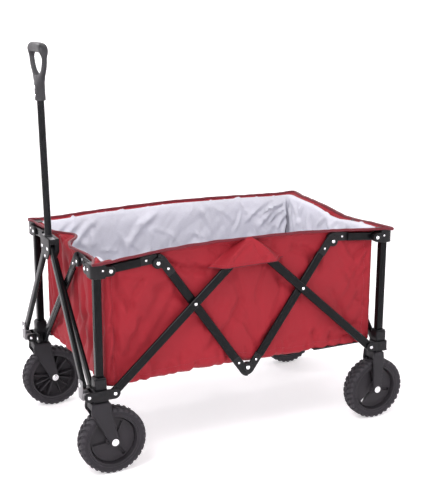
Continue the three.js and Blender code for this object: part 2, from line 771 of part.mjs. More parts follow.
function tubPanels() {
  const z = [up(TUB.hem), up(TUB.top)];
  const { halfLength, halfWidth, wall } = TUB;
  const across = [-halfWidth + wall + GAP, halfWidth - wall - GAP];
  const floorZ = [up(FLOOR.bottom), up(FLOOR.bottom) + FLOOR.thickness];
  const floorX = [-halfLength + FLOOR.margin, halfLength - FLOOR.margin];
  const floorY = [1, halfWidth - FLOOR.margin];
  const panels = [
    ["tub_wall_left", [-halfLength, halfLength], [halfWidth - wall, halfWidth], z, redFabric],
    ["tub_wall_right", [-halfLength, halfLength], [-halfWidth, -halfWidth + wall], z, redFabric],
    ["tub_wall_front", [halfLength - wall, halfLength], across, z, redFabric],
    ["tub_wall_rear", [-halfLength, -halfLength + wall], across, z, redFabric],
    ["tub_floor_left", floorX, floorY, floorZ, floorBoard],
    ["tub_floor_right", floorX, floorY.map((y) => -y).reverse(), floorZ, floorBoard],
  ];
  return panels.map(([name, x, y, height, material]) => meshOf(name, block(x, y, height), material));
}

// ---- Assembly ----

const wagon = new THREE.Group();
wagon.name = "folding_camp_wagon";

// A scissor face stands in the wagon with its u, v and w along these directions.
function faceGroup(u, w, meshes) {
  const group = new THREE.Group();
  group.matrixAutoUpdate = false;
  group.matrix.makeBasis(u, Z, w);
  group.matrix.setPosition(0, 0, PIVOT_HEIGHT);
  group.add(...meshes);
  wagon.add(group);
}

const flip = (vector, sign) => vector.clone().multiplyScalar(sign);

for (const [side, sideSign] of [["left", 1], ["right", -1]]) {
  for (const [end, endSign] of [["front", 1], ["rear", -1]]) {
    const suffix = `${end}_${side}`;
    const front = end === "front";
    faceGroup(flip(X, endSign), flip(Y, sideSign), sideBars(suffix, end));

    const corner = new THREE.Group();
    corner.scale.set(endSign, sideSign, 1);
    corner.add(post(`post_${suffix}`));
    corner.add(topBracket(`top_bracket_${suffix}`));
    corner.add(lowerBracket(`lower_bracket_${suffix}`, front));
    wagon.add(corner);

    const wheelGroup = new THREE.Group();
    const wheelX = front ? SWIVEL_X - TRAIL : REAR_AXLE_X;
    wheelGroup.scale.set(1, sideSign, 1);
    wheelGroup.add(tyre(`tyre_${suffix}`, wheelX));
    wheelGroup.add(rim(`rim_${suffix}`, wheelX));
    wheelGroup.add(axle(`axle_${suffix}`, wheelX));
    wheelGroup.add(front ? frontFork(`caster_fork_${side}`) : rearFork(`rear_fork_${side}`));
    wagon.add(wheelGroup);
  }

  // The end bar of this side runs up to the elbow of the other side.
  const number = side === "left" ? 1 : 0;
  const other = side === "left" ? "right" : "left";
  for (const [end, endSign] of [["front", 1], ["rear", -1]]) {
    const bars = endBar(`end_bar_${end}_${side}`, `end_link_${end}_${other}`, number);
    faceGroup(flip(Y, sideSign), flip(X, endSign), bars);
  }

  const handleSide = new THREE.Group();
  handleSide.scale.set(1, sideSign, 1);
  handleSide.add(yoke(`handle_yoke_${side}`, side === "left"), leg(`handle_leg_${side}`));
  wagon.add(handleSide);
}

const lean = new THREE.Group();
lean.position.set(legPinX, 0, up(POLE.foot));
lean.rotation.y = THREE.MathUtils.degToRad(POLE.lean);
lean.add(grip("handle_grip"));
wagon.add(pole("handle_pole"), lean);
wagon.add(...tubPanels());

export default wagon;
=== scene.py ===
"""Folding camp wagon: the looks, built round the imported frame. Metres, +X to the handle, +Y left, +Z up."""
import math

import bpy
import numpy as np
from mathutils import Matrix, Vector, noise


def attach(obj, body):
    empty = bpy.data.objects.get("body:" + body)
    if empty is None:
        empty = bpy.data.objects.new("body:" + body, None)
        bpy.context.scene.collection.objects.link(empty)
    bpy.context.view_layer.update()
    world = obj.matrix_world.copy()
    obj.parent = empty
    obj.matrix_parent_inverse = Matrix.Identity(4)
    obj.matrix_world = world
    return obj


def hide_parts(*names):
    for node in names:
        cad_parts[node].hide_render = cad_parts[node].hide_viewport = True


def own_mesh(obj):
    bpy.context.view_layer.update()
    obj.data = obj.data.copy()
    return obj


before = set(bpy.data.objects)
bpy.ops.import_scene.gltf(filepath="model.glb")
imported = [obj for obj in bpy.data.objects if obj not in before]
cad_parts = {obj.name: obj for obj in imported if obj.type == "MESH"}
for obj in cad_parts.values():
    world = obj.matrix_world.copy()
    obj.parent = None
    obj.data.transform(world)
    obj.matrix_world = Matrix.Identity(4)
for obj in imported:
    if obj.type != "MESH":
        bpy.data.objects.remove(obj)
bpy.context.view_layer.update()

PIVOT_Z = 0.221
ENDS = (("front", 1), ("rear", -1))
SIDES = (("left", 1), ("right", -1))
CORNERS = [(end, end_sign, side, side_sign) for end, end_sign in ENDS for side, side_sign in SIDES]
X, Y, Z = np.eye(3)
ORIGIN = (0, 0, 0)

# ---------------------------------------------------------------- materials


def new_material(name, colour, roughness, metallic=0.0, specular=0.5, sheen=0.0):
    """A principled material, its node tree, and the shader node."""
    material = bpy.data.materials.new(name)
    material.use_nodes = True
    shader = material.node_tree.nodes["Principled BSDF"]
    values = {"Base Color": (*colour, 1), "Roughness": roughness, "Metallic": metallic,
              "Specular IOR Level": specular, "Sheen Weight": sheen, "Sheen Roughness": 0.4}
    for key, value in values.items():
        shader.inputs[key].default_value = value
    return material, material.node_tree, shader


def node(tree, kind, inputs=(), **settings):
    made = tree.nodes.new(kind)
    for key, value in settings.items():
        setattr(made, key, value)
    for key, value in inputs:
        if isinstance(value, bpy.types.NodeSocket):
            tree.links.new(value, made.inputs[key])
        else:
            made.inputs[key].default_value = value
    return made


def coordinates(tree, scale=(1, 1, 1)):
    where = node(tree, "ShaderNodeTexCoord").outputs["Object"]
    return node(tree, "ShaderNodeMapping", [("Vector", where), ("Scale", scale)]).outputs[0]


def noise_field(tree, vector, scale, detail=3.0, rough=0.55):
    inputs = [("Vector", vector), ("Scale", scale), ("Detail", detail), ("Roughness", rough)]
    return node(tree, "ShaderNodeTexNoise", inputs).outputs["Fac"]


def ramp(tree, factor, stops):
    made = node(tree, "ShaderNodeValToRGB", [("Fac", factor)])
    while len(made.color_ramp.elements) < len(stops):
        made.color_ramp.elements.new(0.5)
    for element, (position, colour) in zip(made.color_ramp.elements, stops):
        element.position = position
        element.color = (*colour, 1)
    return made.outputs["Color"]


def spread(tree, value, low, high, start=0.3, stop=0.7):
    """A field mapped from start and stop, by default a noise's usual range, to low and high."""
    inputs = [("Value", value), ("From Min", start), ("From Max", stop), ("To Min", low), ("To Max", high)]
    return node(tree, "ShaderNodeMapRange", inputs).outputs["Result"]


def bumped(tree, shader, height, distance, strength=1.0, below=None):
    inputs = [("Height", height), ("Distance", distance), ("Strength", strength)]
    if below is not None:
        inputs.append(("Normal", below))
    normal = node(tree, "ShaderNodeBump", inputs).outputs["Normal"]
    tree.links.new(normal, shader.inputs["Normal"])
    return normal


def mixed(tree, factor, a, b):
    return node(tree, "ShaderNodeMix", [(0, factor), (6, a), (7, b)], data_type="RGBA").outputs[2]


def shade(colour, by, lift=0.0):
    return tuple(min(1.0, c * by + lift) for c in colour)


def worn_and_highlit_edges(tree, shader, tone, worn_highlight_tone, start, stop, most):
    """The tone, paler where an edge stands out: partly edge wear, partly a painted highlight along the edges.
    """
    edge_sharpness = node(tree, "ShaderNodeNewGeometry").outputs["Pointiness"]
    edge = spread(tree, edge_sharpness, 0.0, most, start, stop)
    tree.links.new(mixed(tree, edge, tone, (*worn_highlight_tone, 1)), shader.inputs["Base Color"])


def paint(name, colour, roughness, metallic=0.0, grain=900, grain_depth=0.00004, specular=0.5):
    """Powder-coated or polished metal: orange peel, faint handling marks, edges painted paler, partly as
    rubbed wear and partly as a painted highlight.
    """
    material, tree, shader = new_material(name, colour, roughness, metallic, specular)
    at = coordinates(tree)
    smudge = noise_field(tree, at, 9, 5)
    scratch = noise_field(tree, coordinates(tree, (40, 40, 6)), 6, 2)
    tone = ramp(tree, smudge, [(0.3, shade(colour, 0.8)), (0.7, shade(colour, 1.25))])
    worn_and_highlit_edges(tree, shader, tone, shade(colour, 2.0, 0.012), 0.54, 0.62, 0.35)
    tree.links.new(spread(tree, scratch, roughness * 0.8, roughness * 1.3), shader.inputs["Roughness"])
    bumped(tree, shader, noise_field(tree, at, grain, 2), grain_depth)
    return material


def plastic(name, colour, roughness, grain=700, depth=0.00009):
    """Moulded plastic: fine spark-eroded grain, slow flow variation, paler edges, partly rubbed wear and
    partly a painted highlight.
    """
    material, tree, shader = new_material(name, colour, roughness, specular=0.22)
    at = coordinates(tree)
    flow = noise_field(tree, at, 14, 4)
    tone = ramp(tree, flow, [(0.3, shade(colour, 0.82)), (0.72, shade(colour, 1.22))])
    worn_and_highlit_edges(tree, shader, tone, shade(colour, 1.7, 0.02), 0.53, 0.64, 0.5)
    tree.links.new(spread(tree, flow, roughness - 0.07, roughness + 0.1), shader.inputs["Roughness"])
    bumped(tree, shader, noise_field(tree, at, grain, 3, 0.7), depth)
    return material


def cloth(name, colour, roughness, sheen, thread=1100, crumple=0.0009, metallic=0.0, across="XZ"):
    """Woven cloth: two crossing thread directions, slubs, soft creases and slow colour variation."""
    material, tree, shader = new_material(name, colour, roughness, metallic, specular=0.3, sheen=sheen)
    at = coordinates(tree)
    weft = [("Vector", at), ("Scale", thread / math.tau), ("Distortion", 0.6), ("Detail", 1.0)]
    waves = [node(tree, "ShaderNodeTexWave", weft, wave_type="BANDS", bands_direction=way) for way in across]
    crossed = [(k, wave.outputs["Fac"]) for k, wave in enumerate(waves)]
    weave = node(tree, "ShaderNodeMath", crossed, operation="MAXIMUM").outputs[0]
    slub = noise_field(tree, coordinates(tree, (1, 1, 5)), 160, 3)
    slow = noise_field(tree, at, 5.5, 5, 0.6)
    tone = ramp(tree, slow, [(0.28, shade(colour, 0.86)), (0.5, colour), (0.74, shade(colour, 1.13))])
    fleck = ramp(tree, slub, [(0.3, shade(colour, 0.8)), (0.7, shade(colour, 1.18))])
    tree.links.new(mixed(tree, 0.3, tone, fleck), shader.inputs["Base Color"])
    tree.links.new(spread(tree, slub, roughness - 0.06, roughness + 0.08), shader.inputs["Roughness"])
    creases = noise_field(tree, coordinates(tree, (1, 1, 0.6)), 16, 5, 0.62)
    soft = bumped(tree, shader, creases, crumple * 3, 0.6)
    bumped(tree, shader, weave, 0.00012, 0.5, below=soft)
    return material


RED_DYE, SILVER = (0.262, 0.0080, 0.0165), (0.57, 0.566, 0.625)
TUBE = paint("frame_tube_paint", (0.0026, 0.0027, 0.0034), 0.17, specular=0.13)
POLE_PAINT = paint("handle_tube_paint", (0.003, 0.003, 0.004), 0.28, specular=0.16)
# Grey steel for the yoke plates; on the handle head's top plate the pale grey is partly a painted highlight.
GREY_STEEL_AND_LIT_TOP = paint("grey_steel_and_lit_top", (0.22, 0.215, 0.225), 0.36, 0.55, 400, 0.00005)
ZINC = paint("rivet_zinc", (0.78, 0.78, 0.8), 0.2, 1.0, 1500, 0.00002)
BRACKET = plastic("bracket_plastic", (0.0052, 0.0050, 0.0062), 0.36)
FORK = plastic("fork_plastic", (0.015, 0.0135, 0.0165), 0.44)
WHEEL = plastic("wheel_plastic", (0.021, 0.0185, 0.022), 0.5)
TYRE = plastic("tyre_rubber", (0.021, 0.0185, 0.0225), 0.62, 500, 0.00014)
GRIP = plastic("grip_plastic", (0.032, 0.031, 0.034), 0.42)
RED = cloth("red_polyester", RED_DYE, 0.7, 0.03)
RED_END = cloth("red_polyester_end", RED_DYE, 0.7, 0.03, across="YZ")
LINING = cloth("silver_lining", SILVER, 0.42, 0.0, metallic=0.1)
LINING_END = cloth("silver_lining_end", SILVER, 0.42, 0.0, metallic=0.1, across="YZ")
LINING_FLOOR = cloth("silver_lining_floor", (0.5, 0.495, 0.56), 0.46, 0.0, metallic=0.1, across="XY")
PIPING = cloth("rim_piping", (0.122, 0.0065, 0.0150), 0.5, 0.1, thread=1500, crumple=0.0002)
THREAD = cloth("stitch_thread", (0.26, 0.02, 0.035), 0.6, 0.3, thread=2500, crumple=0.0001)
SEAM_TAPE = cloth("seam_tape", (0.05, 0.05, 0.058), 0.6, 0.1, thread=1500, crumple=0.0002)
BOARD = cloth("floor_board", (0.015, 0.015, 0.017), 0.7, 0.1, across="XY")

# ---------------------------------------------------------------- shapes: (points, faces) pairs


def arc(radius, start, stop, count, centre=(0, 0)):
    a = np.linspace(start, stop, count)
    return np.c_[centre[0] + radius * np.cos(a), centre[1] + radius * np.sin(a)]


def circle(radius, count):
    return arc(radius, 0, math.tau, count + 1)[:-1]


def unit(v):
    return v / np.linalg.norm(v, axis=-1, keepdims=True)


def rounded(points, radius, steps=4):
    """A closed outline with its corners rounded, by one radius or one each."""
    p = np.array(points, float)
    radii = np.broadcast_to(radius, len(p))
    out = []
    for i, corner in enumerate(p):
        back, ahead = p[i - 1] - corner, p[(i + 1) % len(p)] - corner
        u, v = unit(back), unit(ahead)
        half = math.acos(np.clip(u @ v, -1, 1)) / 2
        shorter = min(np.linalg.norm(back), np.linalg.norm(ahead))
        reach = min(radii[i] / math.tan(half), 0.49 * shorter)
        if reach < 1e-6:
            out.append([corner])
            continue
        r = reach * math.tan(half)
        centre = corner + unit(u + v) * (r / math.sin(half))
        s, e = corner + u * reach - centre, corner + v * reach - centre
        start = math.atan2(s[1], s[0])
        sweep = (math.atan2(e[1], e[0]) - start + math.pi) % math.tau - math.pi
        out.append(arc(r, start, start + sweep, steps + 1, centre))
    return np.vstack(out)


def rectangle(x0, x1, y0, y1, radius=0.0, steps=4):
    return rounded([(x0, y0), (x1, y0), (x1, y1), (x0, y1)], radius, steps)


def inset(points, by):
    p = np.asarray(points, float)
    before, after = unit(p - np.roll(p, 1, 0)), unit(np.roll(p, -1, 0) - p)
    n0, n1 = np.c_[-before[:, 1], before[:, 0]], np.c_[-after[:, 1], after[:, 0]]
    scale = np.maximum(1 + (n0 * n1).sum(1), 0.35)
    return p + by * (n0 + n1) / scale[:, None]


def lofted(rings, closed=False):
    """Quads between rings of equal length: closed into a hoop, or with the two ends capped."""
    count = len(rings[0])
    faces = []
    for k in range(len(rings) if closed else len(rings) - 1):
        a, b = k * count, (k + 1) % len(rings) * count
        for i in range(count):
            j = (i + 1) % count
            faces.append((a + i, a + j, b + j, b + i))
    if not closed:
        faces.append(tuple(range(count - 1, -1, -1)))
        faces.append(tuple((len(rings) - 1) * count + i for i in range(count)))
    return np.concatenate(rings), faces


def prism(points, low, high, bevel=0.001, steps=2):
    """An anticlockwise outline raised from low to high, its rims rounded."""
    rings = []
    for k in range(steps + 1):
        a = math.pi / 2 * k / steps
        rings.append((inset(points, bevel * (1 - math.sin(a))), low + bevel * (1 - math.cos(a))))
    rings += [(outline, low + high - h) for outline, h in reversed(rings)]
    return lofted([np.c_[outline, np.full(len(outline), h)] for outline, h in rings])


def lathe(profile, sides=32, closed=False):
    """(radius, height) points turned about the third axis."""
    return lofted([np.c_[circle(r, sides), np.full(sides, h)] for r, h in profile], closed)


def ring(inner, outer, height, lean=(0.0002, 0.0002), sides=28, foot=-0.0004):
    """A raised ring whose inner and outer faces lean in by the given amounts."""
    top = [(outer - lean[1], height), (inner + lean[0], height)]
    return lathe([(inner, foot), (outer, foot)] + top, sides, closed=True)


def dome(radius, height, sides=20, steps=4):
    """A rivet head that stands on height 0."""
    angles = [math.pi / 2 * k / (steps + 0.4) for k in range(steps + 1)]
    return lathe([(radius, -0.0006)] + [(radius * math.cos(a), height * math.sin(a)) for a in angles], sides)


def placed(shape, origin, x, y, z):
    """The shape with its three axes along x, y and z, its faces still outward."""
    points, faces = shape
    axes = np.array([x, y, z], float)
    if np.linalg.det(axes) < 0:
        faces = [tuple(reversed(f)) for f in faces]
    return points @ axes + np.asarray(origin, float), faces


def facing(shape, axis, origin):
    """The shape with its third axis along a signed axis such as "+Y"."""
    a, b, c = {"X": (Y, Z, X), "Y": (Z, X, Y), "Z": (X, Y, Z)}[axis[1]]
    return placed(shape, origin, a, b, c if axis[0] == "+" else -c)


def rivet(at, axis, radius=0.0048, height=0.0024):
    return facing(dome(radius, height), axis, at)


def drawn_xz(points, y0, y1, bevel=0.001, steps=2):
    """An (x, z) outline raised along y."""
    return placed(prism(points, y0, y1, bevel, steps), ORIGIN, X, Z, Y)


def drawn_yz(points, x0, x1, bevel=0.001, steps=2):
    return placed(prism(points, x0, x1, bevel, steps), ORIGIN, Y, Z, X)


def smoothstep(a, b, x):
    t = np.clip((x - a) / (b - a), 0, 1)
    return t * t * (3 - 2 * t)


class Piece:
    """Closed shells gathered into one object, each shell with its material."""

    def __init__(self, place=(ORIGIN, X, Y, Z)):
        self.points, self.faces, self.material_of, self.materials = [], [], [], []
        self.place = place
        self.count = 0

    def add(self, material, *shapes):
        if material not in self.materials:
            self.materials.append(material)
        for shape in shapes:
            points, faces = placed(shape, *self.place)
            self.points.append(points)
            self.faces += [tuple(i + self.count for i in f) for f in faces]
            self.material_of += [self.materials.index(material)] * len(faces)
            self.count += len(points)

    def build(self, name, body, slot, *replaced, crease=38):
        mesh = bpy.data.meshes.new(name)
        mesh.from_pydata(np.concatenate(self.points).tolist(), [], self.faces)
        for material in self.materials:
            mesh.materials.append(material)
        mesh.polygons.foreach_set("material_index", self.material_of)
        mesh.shade_smooth()
        mesh.set_sharp_from_angle(angle=math.radians(crease))
        obj = bpy.data.objects.new(name, mesh)
        bpy.context.scene.collection.objects.link(obj)
        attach(obj, body)
        if replaced:
            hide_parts(*replaced)
        return obj

    def finish(self, name, body, slot, crease=38):
        """The piece in place of the CAD node of that name."""
        return self.build(f"{name}_finished", body, slot, name, crease=crease)


# ---------------------------------------------------------------- bars of the scissor faces

BAR_WIDTH, BAR_DEPTH, BAR_CORNER, LAYER = 0.024, 0.011, 0.0046, 0.0116
HINGE_OFFSET = 0.0125
HALF_BAR = BAR_WIDTH / 2
HALF_DEPTH = 0.0052
LAP = HINGE_OFFSET + HALF_BAR + 0.022
KNUCKLE = 0.0145
PIN_SPAN = 0.323  # from the lower pivots up to the top ones
SIDE_PIN_X, END_PIN_Y = (0.390, 0.395), 0.216


def turn_between(a, b):
    return abs(math.atan2(a[0] * b[1] - a[1] * b[0], a @ b))


def line_from(through, beside, side):
    """The end of the middle line from one pin that passes another at the hinge offset."""
    run = beside - through
    swing = math.asin(HINGE_OFFSET / np.linalg.norm(run)) * side
    c, s = math.cos(swing), math.sin(swing)
    return through + np.array([c * run[0] - s * run[1], s * run[0] + c * run[1]])


def offset_point(pin, other, side):
    way = unit(other - pin)
    return pin + side * HINGE_OFFSET * np.array([-way[1], way[0]])


def crossing(a, b, c, d):
    r, s, q = b - a, d - c, c - a
    return a + r * ((q[0] * s[1] - q[1] * s[0]) / (r[0] * s[1] - r[1] * s[0]))


def add_tongue(piece, pin, heading, side, turn, low, high):
    """The moulded end of a bar: a mitred tongue that rounds the hinge, with rings and a plug rivet."""
    reach = HINGE_OFFSET + HALF_BAR
    start = math.pi / 2 - turn
    root = -LAP - 0.002
    points = np.vstack([[(root, HINGE_OFFSET - HALF_BAR)], arc(KNUCKLE, math.pi, start + math.tau, 22),
                        arc(reach, start, math.pi / 2, 6), [(root, reach)]])
    y = np.array([-heading[1], heading[0], 0.0]) * side
    axes = (*heading, 0.0), y, Z
    piece.add(BRACKET, placed(prism(points, low, high, 0.0009), (*pin, 0), *axes))
    for inner, outer, height in ((0.0066, 0.0078, 0.0005), (0.0098, 0.0116, 0.0007)):
        piece.add(BRACKET, placed(ring(inner, outer, height), (*pin, high), *axes))
    band = rectangle(root + 0.0004, -LAP + 0.002, 0.0012, reach - 0.0012, 0.0005)
    piece.add(BRACKET, placed(prism(band, high - 0.0004, high + 0.0005, 0.0003, 1), (*pin, 0), *axes))
    plug = pin - heading * 0.030 + y[:2] * HINGE_OFFSET
    piece.add(ZINC, placed(dome(0.0036, 0.0018, 16), (*plug, high), *axes))


def add_bar(piece, start, end, w, ends, heads=()):
    """A flattened tube along its middle line. An end is an eye: pin, or a tongue: pin, side, turn, outer."""
    way = unit(end - start)
    reach = []
    for away, (pin, *tongue) in zip((1, -1), ends):
        station = (pin - start) @ way
        if tongue:
            side, turn, outer = tongue
            low = w + (BAR_DEPTH - HALF_DEPTH) * outer
            add_tongue(piece, pin, -away * way, side, turn, low, low + HALF_DEPTH)
            reach.append(station + LAP * away)
        else:
            eye = prism(circle(HALF_BAR, 28), w, w + BAR_DEPTH, 0.0022, 3)
            piece.add(TUBE, placed(eye, (*pin, 0), X, Y, Z))
            reach.append(station)
    section = rectangle(-HALF_BAR, HALF_BAR, 0, BAR_DEPTH, BAR_CORNER, 5)
    tube = prism(section, 0, reach[1] - reach[0], 0.0004, 1)
    piece.add(TUBE, placed(tube, (*(start + way * reach[0]), w), (-way[1], way[0], 0), Z, (*way, 0)))
    for pin, size in heads:
        piece.add(ZINC, placed(dome(size, size * 0.5), (*pin, w + BAR_DEPTH), X, Y, Z))


def side_bars(end, end_sign, side, side_sign):
    suffix, body, front = f"{end}_{side}", f"{end}_{side}_", end == "front"
    place = ((0, 0, PIVOT_Z), X * end_sign, Z, Y * side_sign)
    inner, outer = 0.2405, 0.2405 + LAYER
    foot, top_pin = np.array([SIDE_PIN_X[0], 0]), np.array([SIDE_PIN_X[1], PIN_SPAN])
    elbow, crown, base = np.array([0.261, PIN_SPAN]), np.array([0, 0.332]), np.array([0, -0.001])
    brace_tip = line_from(foot, crown, -1)
    strut_foot, strut_tip = offset_point(base, elbow, -1), offset_point(elbow, base, -1)
    link_tip = line_from(top_pin, elbow, -1)
    cross = crossing(foot, brace_tip, strut_foot, strut_tip)
    strut_run = strut_tip - strut_foot

    brace = Piece(place)
    turn = turn_between(brace_tip - foot, np.array([-1, 0]))
    heads = [(cross, 0.0048)] + [(crown, 0.0052)] * front
    add_bar(brace, foot, brace_tip, outer, [(foot,), (crown, -1, turn, front)], heads)
    brace.finish(f"side_brace_{suffix}", body + "brace", "frame_tube")

    strut = Piece(place)
    turn = turn_between(strut_run, np.array([1, 0]))
    heads = [(elbow, 0.0058)] + [(base, 0.0062)] * front
    add_bar(strut, strut_foot, strut_tip, inner, [(base, 1, turn, front), (elbow, 1, turn, True)], heads)
    strut.finish(f"side_strut_{suffix}", body + "strut", "frame_tube")

    link = Piece(place)
    turn = turn_between(link_tip - top_pin, -strut_run)
    add_bar(link, top_pin, link_tip, inner, [(top_pin,), (elbow, -1, turn, False)])
    link.finish(f"side_link_{suffix}", body + "link", "frame_tube")


def end_bars(end, end_sign, side, side_sign):
    """The long bar from this side's lower corner, and the link at the other side's top corner."""
    other = {"left": "right", "right": "left"}[side]
    layer = 1 if side == "left" else 0
    place = ((0, 0, PIVOT_Z), Y * side_sign, Z, X * end_sign)
    w = 0.4175 + layer * LAYER
    foot, top_pin = np.array([END_PIN_Y, 0]), np.array([-END_PIN_Y, PIN_SPAN])
    elbow = np.array([-0.105, 0.312])
    bar_tip, link_tip = line_from(foot, elbow, -1), line_from(top_pin, elbow, 1)
    cross = crossing(foot, bar_tip, np.array([0, 0]), np.array([0, 1]))
    turn = turn_between(bar_tip - foot, top_pin - link_tip)

    long = Piece(place)
    heads = [(elbow, 0.0048)] + [(cross, 0.0048)] * layer
    add_bar(long, foot, bar_tip, w, [(foot,), (elbow, -1, turn, True)], heads)
    long.finish(f"end_bar_{end}_{side}", f"{end}_end_bar_{side}", "frame_tube")

    link = Piece(place)
    add_bar(link, top_pin, link_tip, w, [(top_pin,), (elbow, 1, turn, False)])
    link.finish(f"end_link_{end}_{other}", f"{end}_end_link_{other}", "frame_tube")


for corner in CORNERS:
    side_bars(*corner)
    end_bars(*corner)

# ---------------------------------------------------------------- corner posts and brackets

POST_X, POST_Y, POST_HALF = 0.426, 0.247, 0.010
OUT_X, OUT_Y = 0.446, 0.269
IN_X, IN_Y = 0.408, 0.229
TOP_PIN_Z = PIVOT_Z + PIN_SPAN
EAR_X = 0.460  # the handle's pivot, ahead of the front lower brackets


def stadium(pin, to, half):
    """An outline round a pin that runs on square to a station further out."""
    around = arc(half, math.pi / 2, 1.5 * math.pi, 13, pin)
    return np.vstack([around, [(to, pin[1] - half), (to, pin[1] + half)]])


def corner_shell(z0, z1, round_outer=0.016):
    outline = rectangle(IN_X, OUT_X, IN_Y, OUT_Y, [0.003, 0.004, round_outer, 0.004], 6)
    return prism(outline, z0, z1, 0.0018, 3)


def cheeks(pin_x, z, half, inner_y, bevel):
    """The two ears that hold a side bar and an end bar."""
    return (drawn_xz(stadium((pin_x, z), 0.412, half), inner_y, OUT_Y, bevel, 3),
            drawn_yz(stadium((END_PIN_Y, z), 0.233, half), 0.4411, OUT_X, 0.0016, 3))


def post_and_brackets(end, end_sign, side, side_sign):
    suffix = f"{end}_{side}"
    body = suffix + "_corner"
    place = (ORIGIN, X * end_sign, Y * side_sign, Z)

    post = Piece(place)
    section = rectangle(-POST_HALF, POST_HALF, -POST_HALF, POST_HALF, 0.0035)
    post.add(TUBE, prism(section + (POST_X, POST_Y), 0.218, 0.557, 0.0006))
    post.finish(f"post_{suffix}", body, "frame_tube")

    top = Piece(place)
    z, pin_x = TOP_PIN_Z, SIDE_PIN_X[1]
    top.add(BRACKET, corner_shell(0.527, 0.564), *cheeks(pin_x, z, 0.013, 0.2525, 0.0018))
    lip = rectangle(0.4085, 0.4462, 0.2295, 0.2692, [0.003, 0.004, 0.016, 0.004], 6)
    top.add(BRACKET, prism(lip, 0.5275, 0.5305, 0.0006))
    for inner, outer in ((0.0068, 0.0082), (0.0102, 0.0118)):
        top.add(BRACKET, facing(ring(inner, outer, 0.0006), "+Y", (pin_x, OUT_Y, z)))
    top.add(ZINC, rivet((pin_x, OUT_Y, z), "+Y", 0.0056, 0.0026), rivet((OUT_X, END_PIN_Y, z), "+X"))
    top.add(ZINC, rivet((OUT_X, 0.240, z + 0.004), "+X", 0.0036, 0.0018))
    top.add(ZINC, rivet((0.4165, OUT_Y, z + 0.004), "+Y", 0.0030, 0.0014))
    top.finish(f"top_bracket_{suffix}", body, "bracket_plastic")

    low = Piece(place)
    z, pin_x = PIVOT_Z, SIDE_PIN_X[0]
    slim = rectangle(0.4105, 0.4420, 0.2315, 0.2640, 0.0045)
    low.add(BRACKET, corner_shell(0.205, 0.2335, 0.007), prism(slim, 0.232, 0.262, 0.0012))
    low.add(BRACKET, prism(inset(slim, 0.0018), 0.2615, 0.266), *cheeks(pin_x, z, 0.014, 0.2639, 0.0016))
    low.add(BRACKET, prism(rectangle(0.4075, 0.4465, 0.2285, 0.2695, 0.005), 0.2045, 0.2085))
    low.add(ZINC, rivet((pin_x, OUT_Y, z), "+Y", 0.0052), rivet((OUT_X, END_PIN_Y, z), "+X"))
    low.add(FORK, facing(ring(0.0016, 0.0024, 0.0003, (0, 0), 14), "+Y", (0.424, OUT_Y, z + 0.002)))
    if end == "front":
        strap = np.vstack([arc(0.0125, -math.pi / 2, math.pi / 2, 10, (EAR_X, z)),
                           arc(0.0135, math.pi / 2, 1.5 * math.pi, 10, (pin_x, z))])
        low.add(BRACKET, drawn_xz(strap, 0.2650, OUT_Y + 0.0003))
        ear = np.vstack([arc(0.012, -math.pi / 2, math.pi / 2, 13, (EAR_X, z)),
                         [(0.432, z + 0.012), (0.432, z - 0.012)]])
        for y0, y1 in ((IN_Y, 0.2349), (0.2631, OUT_Y)):
            low.add(BRACKET, drawn_xz(ear, y0, y1, 0.0014, 3))
        low.add(ZINC, facing(lathe([(0.004, 0), (0.004, 0.030)], 16), "+Y", (EAR_X, 0.234, z)))
        low.add(ZINC, rivet((EAR_X, OUT_Y, z), "+Y", 0.005), rivet((EAR_X, IN_Y, z), "-Y", 0.005))
        swivel = lathe([(0.0165, 0.2022), (0.017, 0.2026), (0.017, 0.2046), (0.0165, 0.205)])
        low.add(FORK, placed(swivel, (0.430, POST_Y, 0), X, Y, Z))
    low.finish(f"lower_bracket_{suffix}", body, "bracket_plastic")


for corner in CORNERS:
    post_and_brackets(*corner)

# ---------------------------------------------------------------- wheels

WHEEL_Y, WHEEL_R = 0.247, 0.0895
AXLE_X = {"front": 0.395, "rear": -0.414}
SLOTS, HUB_OUT, RIM_OUT, WEB = 3, 0.017, 0.0565, 0.007
TREAD_BLOCKS, BLOCK_SLANT = 32, 0.115
TURNS = {"front_left": -0.087, "front_right": 0.52, "rear_left": -0.785, "rear_right": 2.0}


def wheel_axes(end, side, side_sign):
    """Axes of a wheel drawn about its third axis, which points outward."""
    turn = TURNS[f"{end}_{side}"]
    c, s = math.cos(turn), math.sin(turn)
    return (AXLE_X[end], WHEEL_Y * side_sign, WHEEL_R), (c, 0, s), (-s, 0, c), Y * side_sign


def fan(outer_arc, inner_arc, *raised):
    """A plate between an outer arc and an inner one: each a radius, a start, a stop and a count."""
    return prism(np.vstack([arc(*outer_arc), arc(*inner_arc)]), *raised)


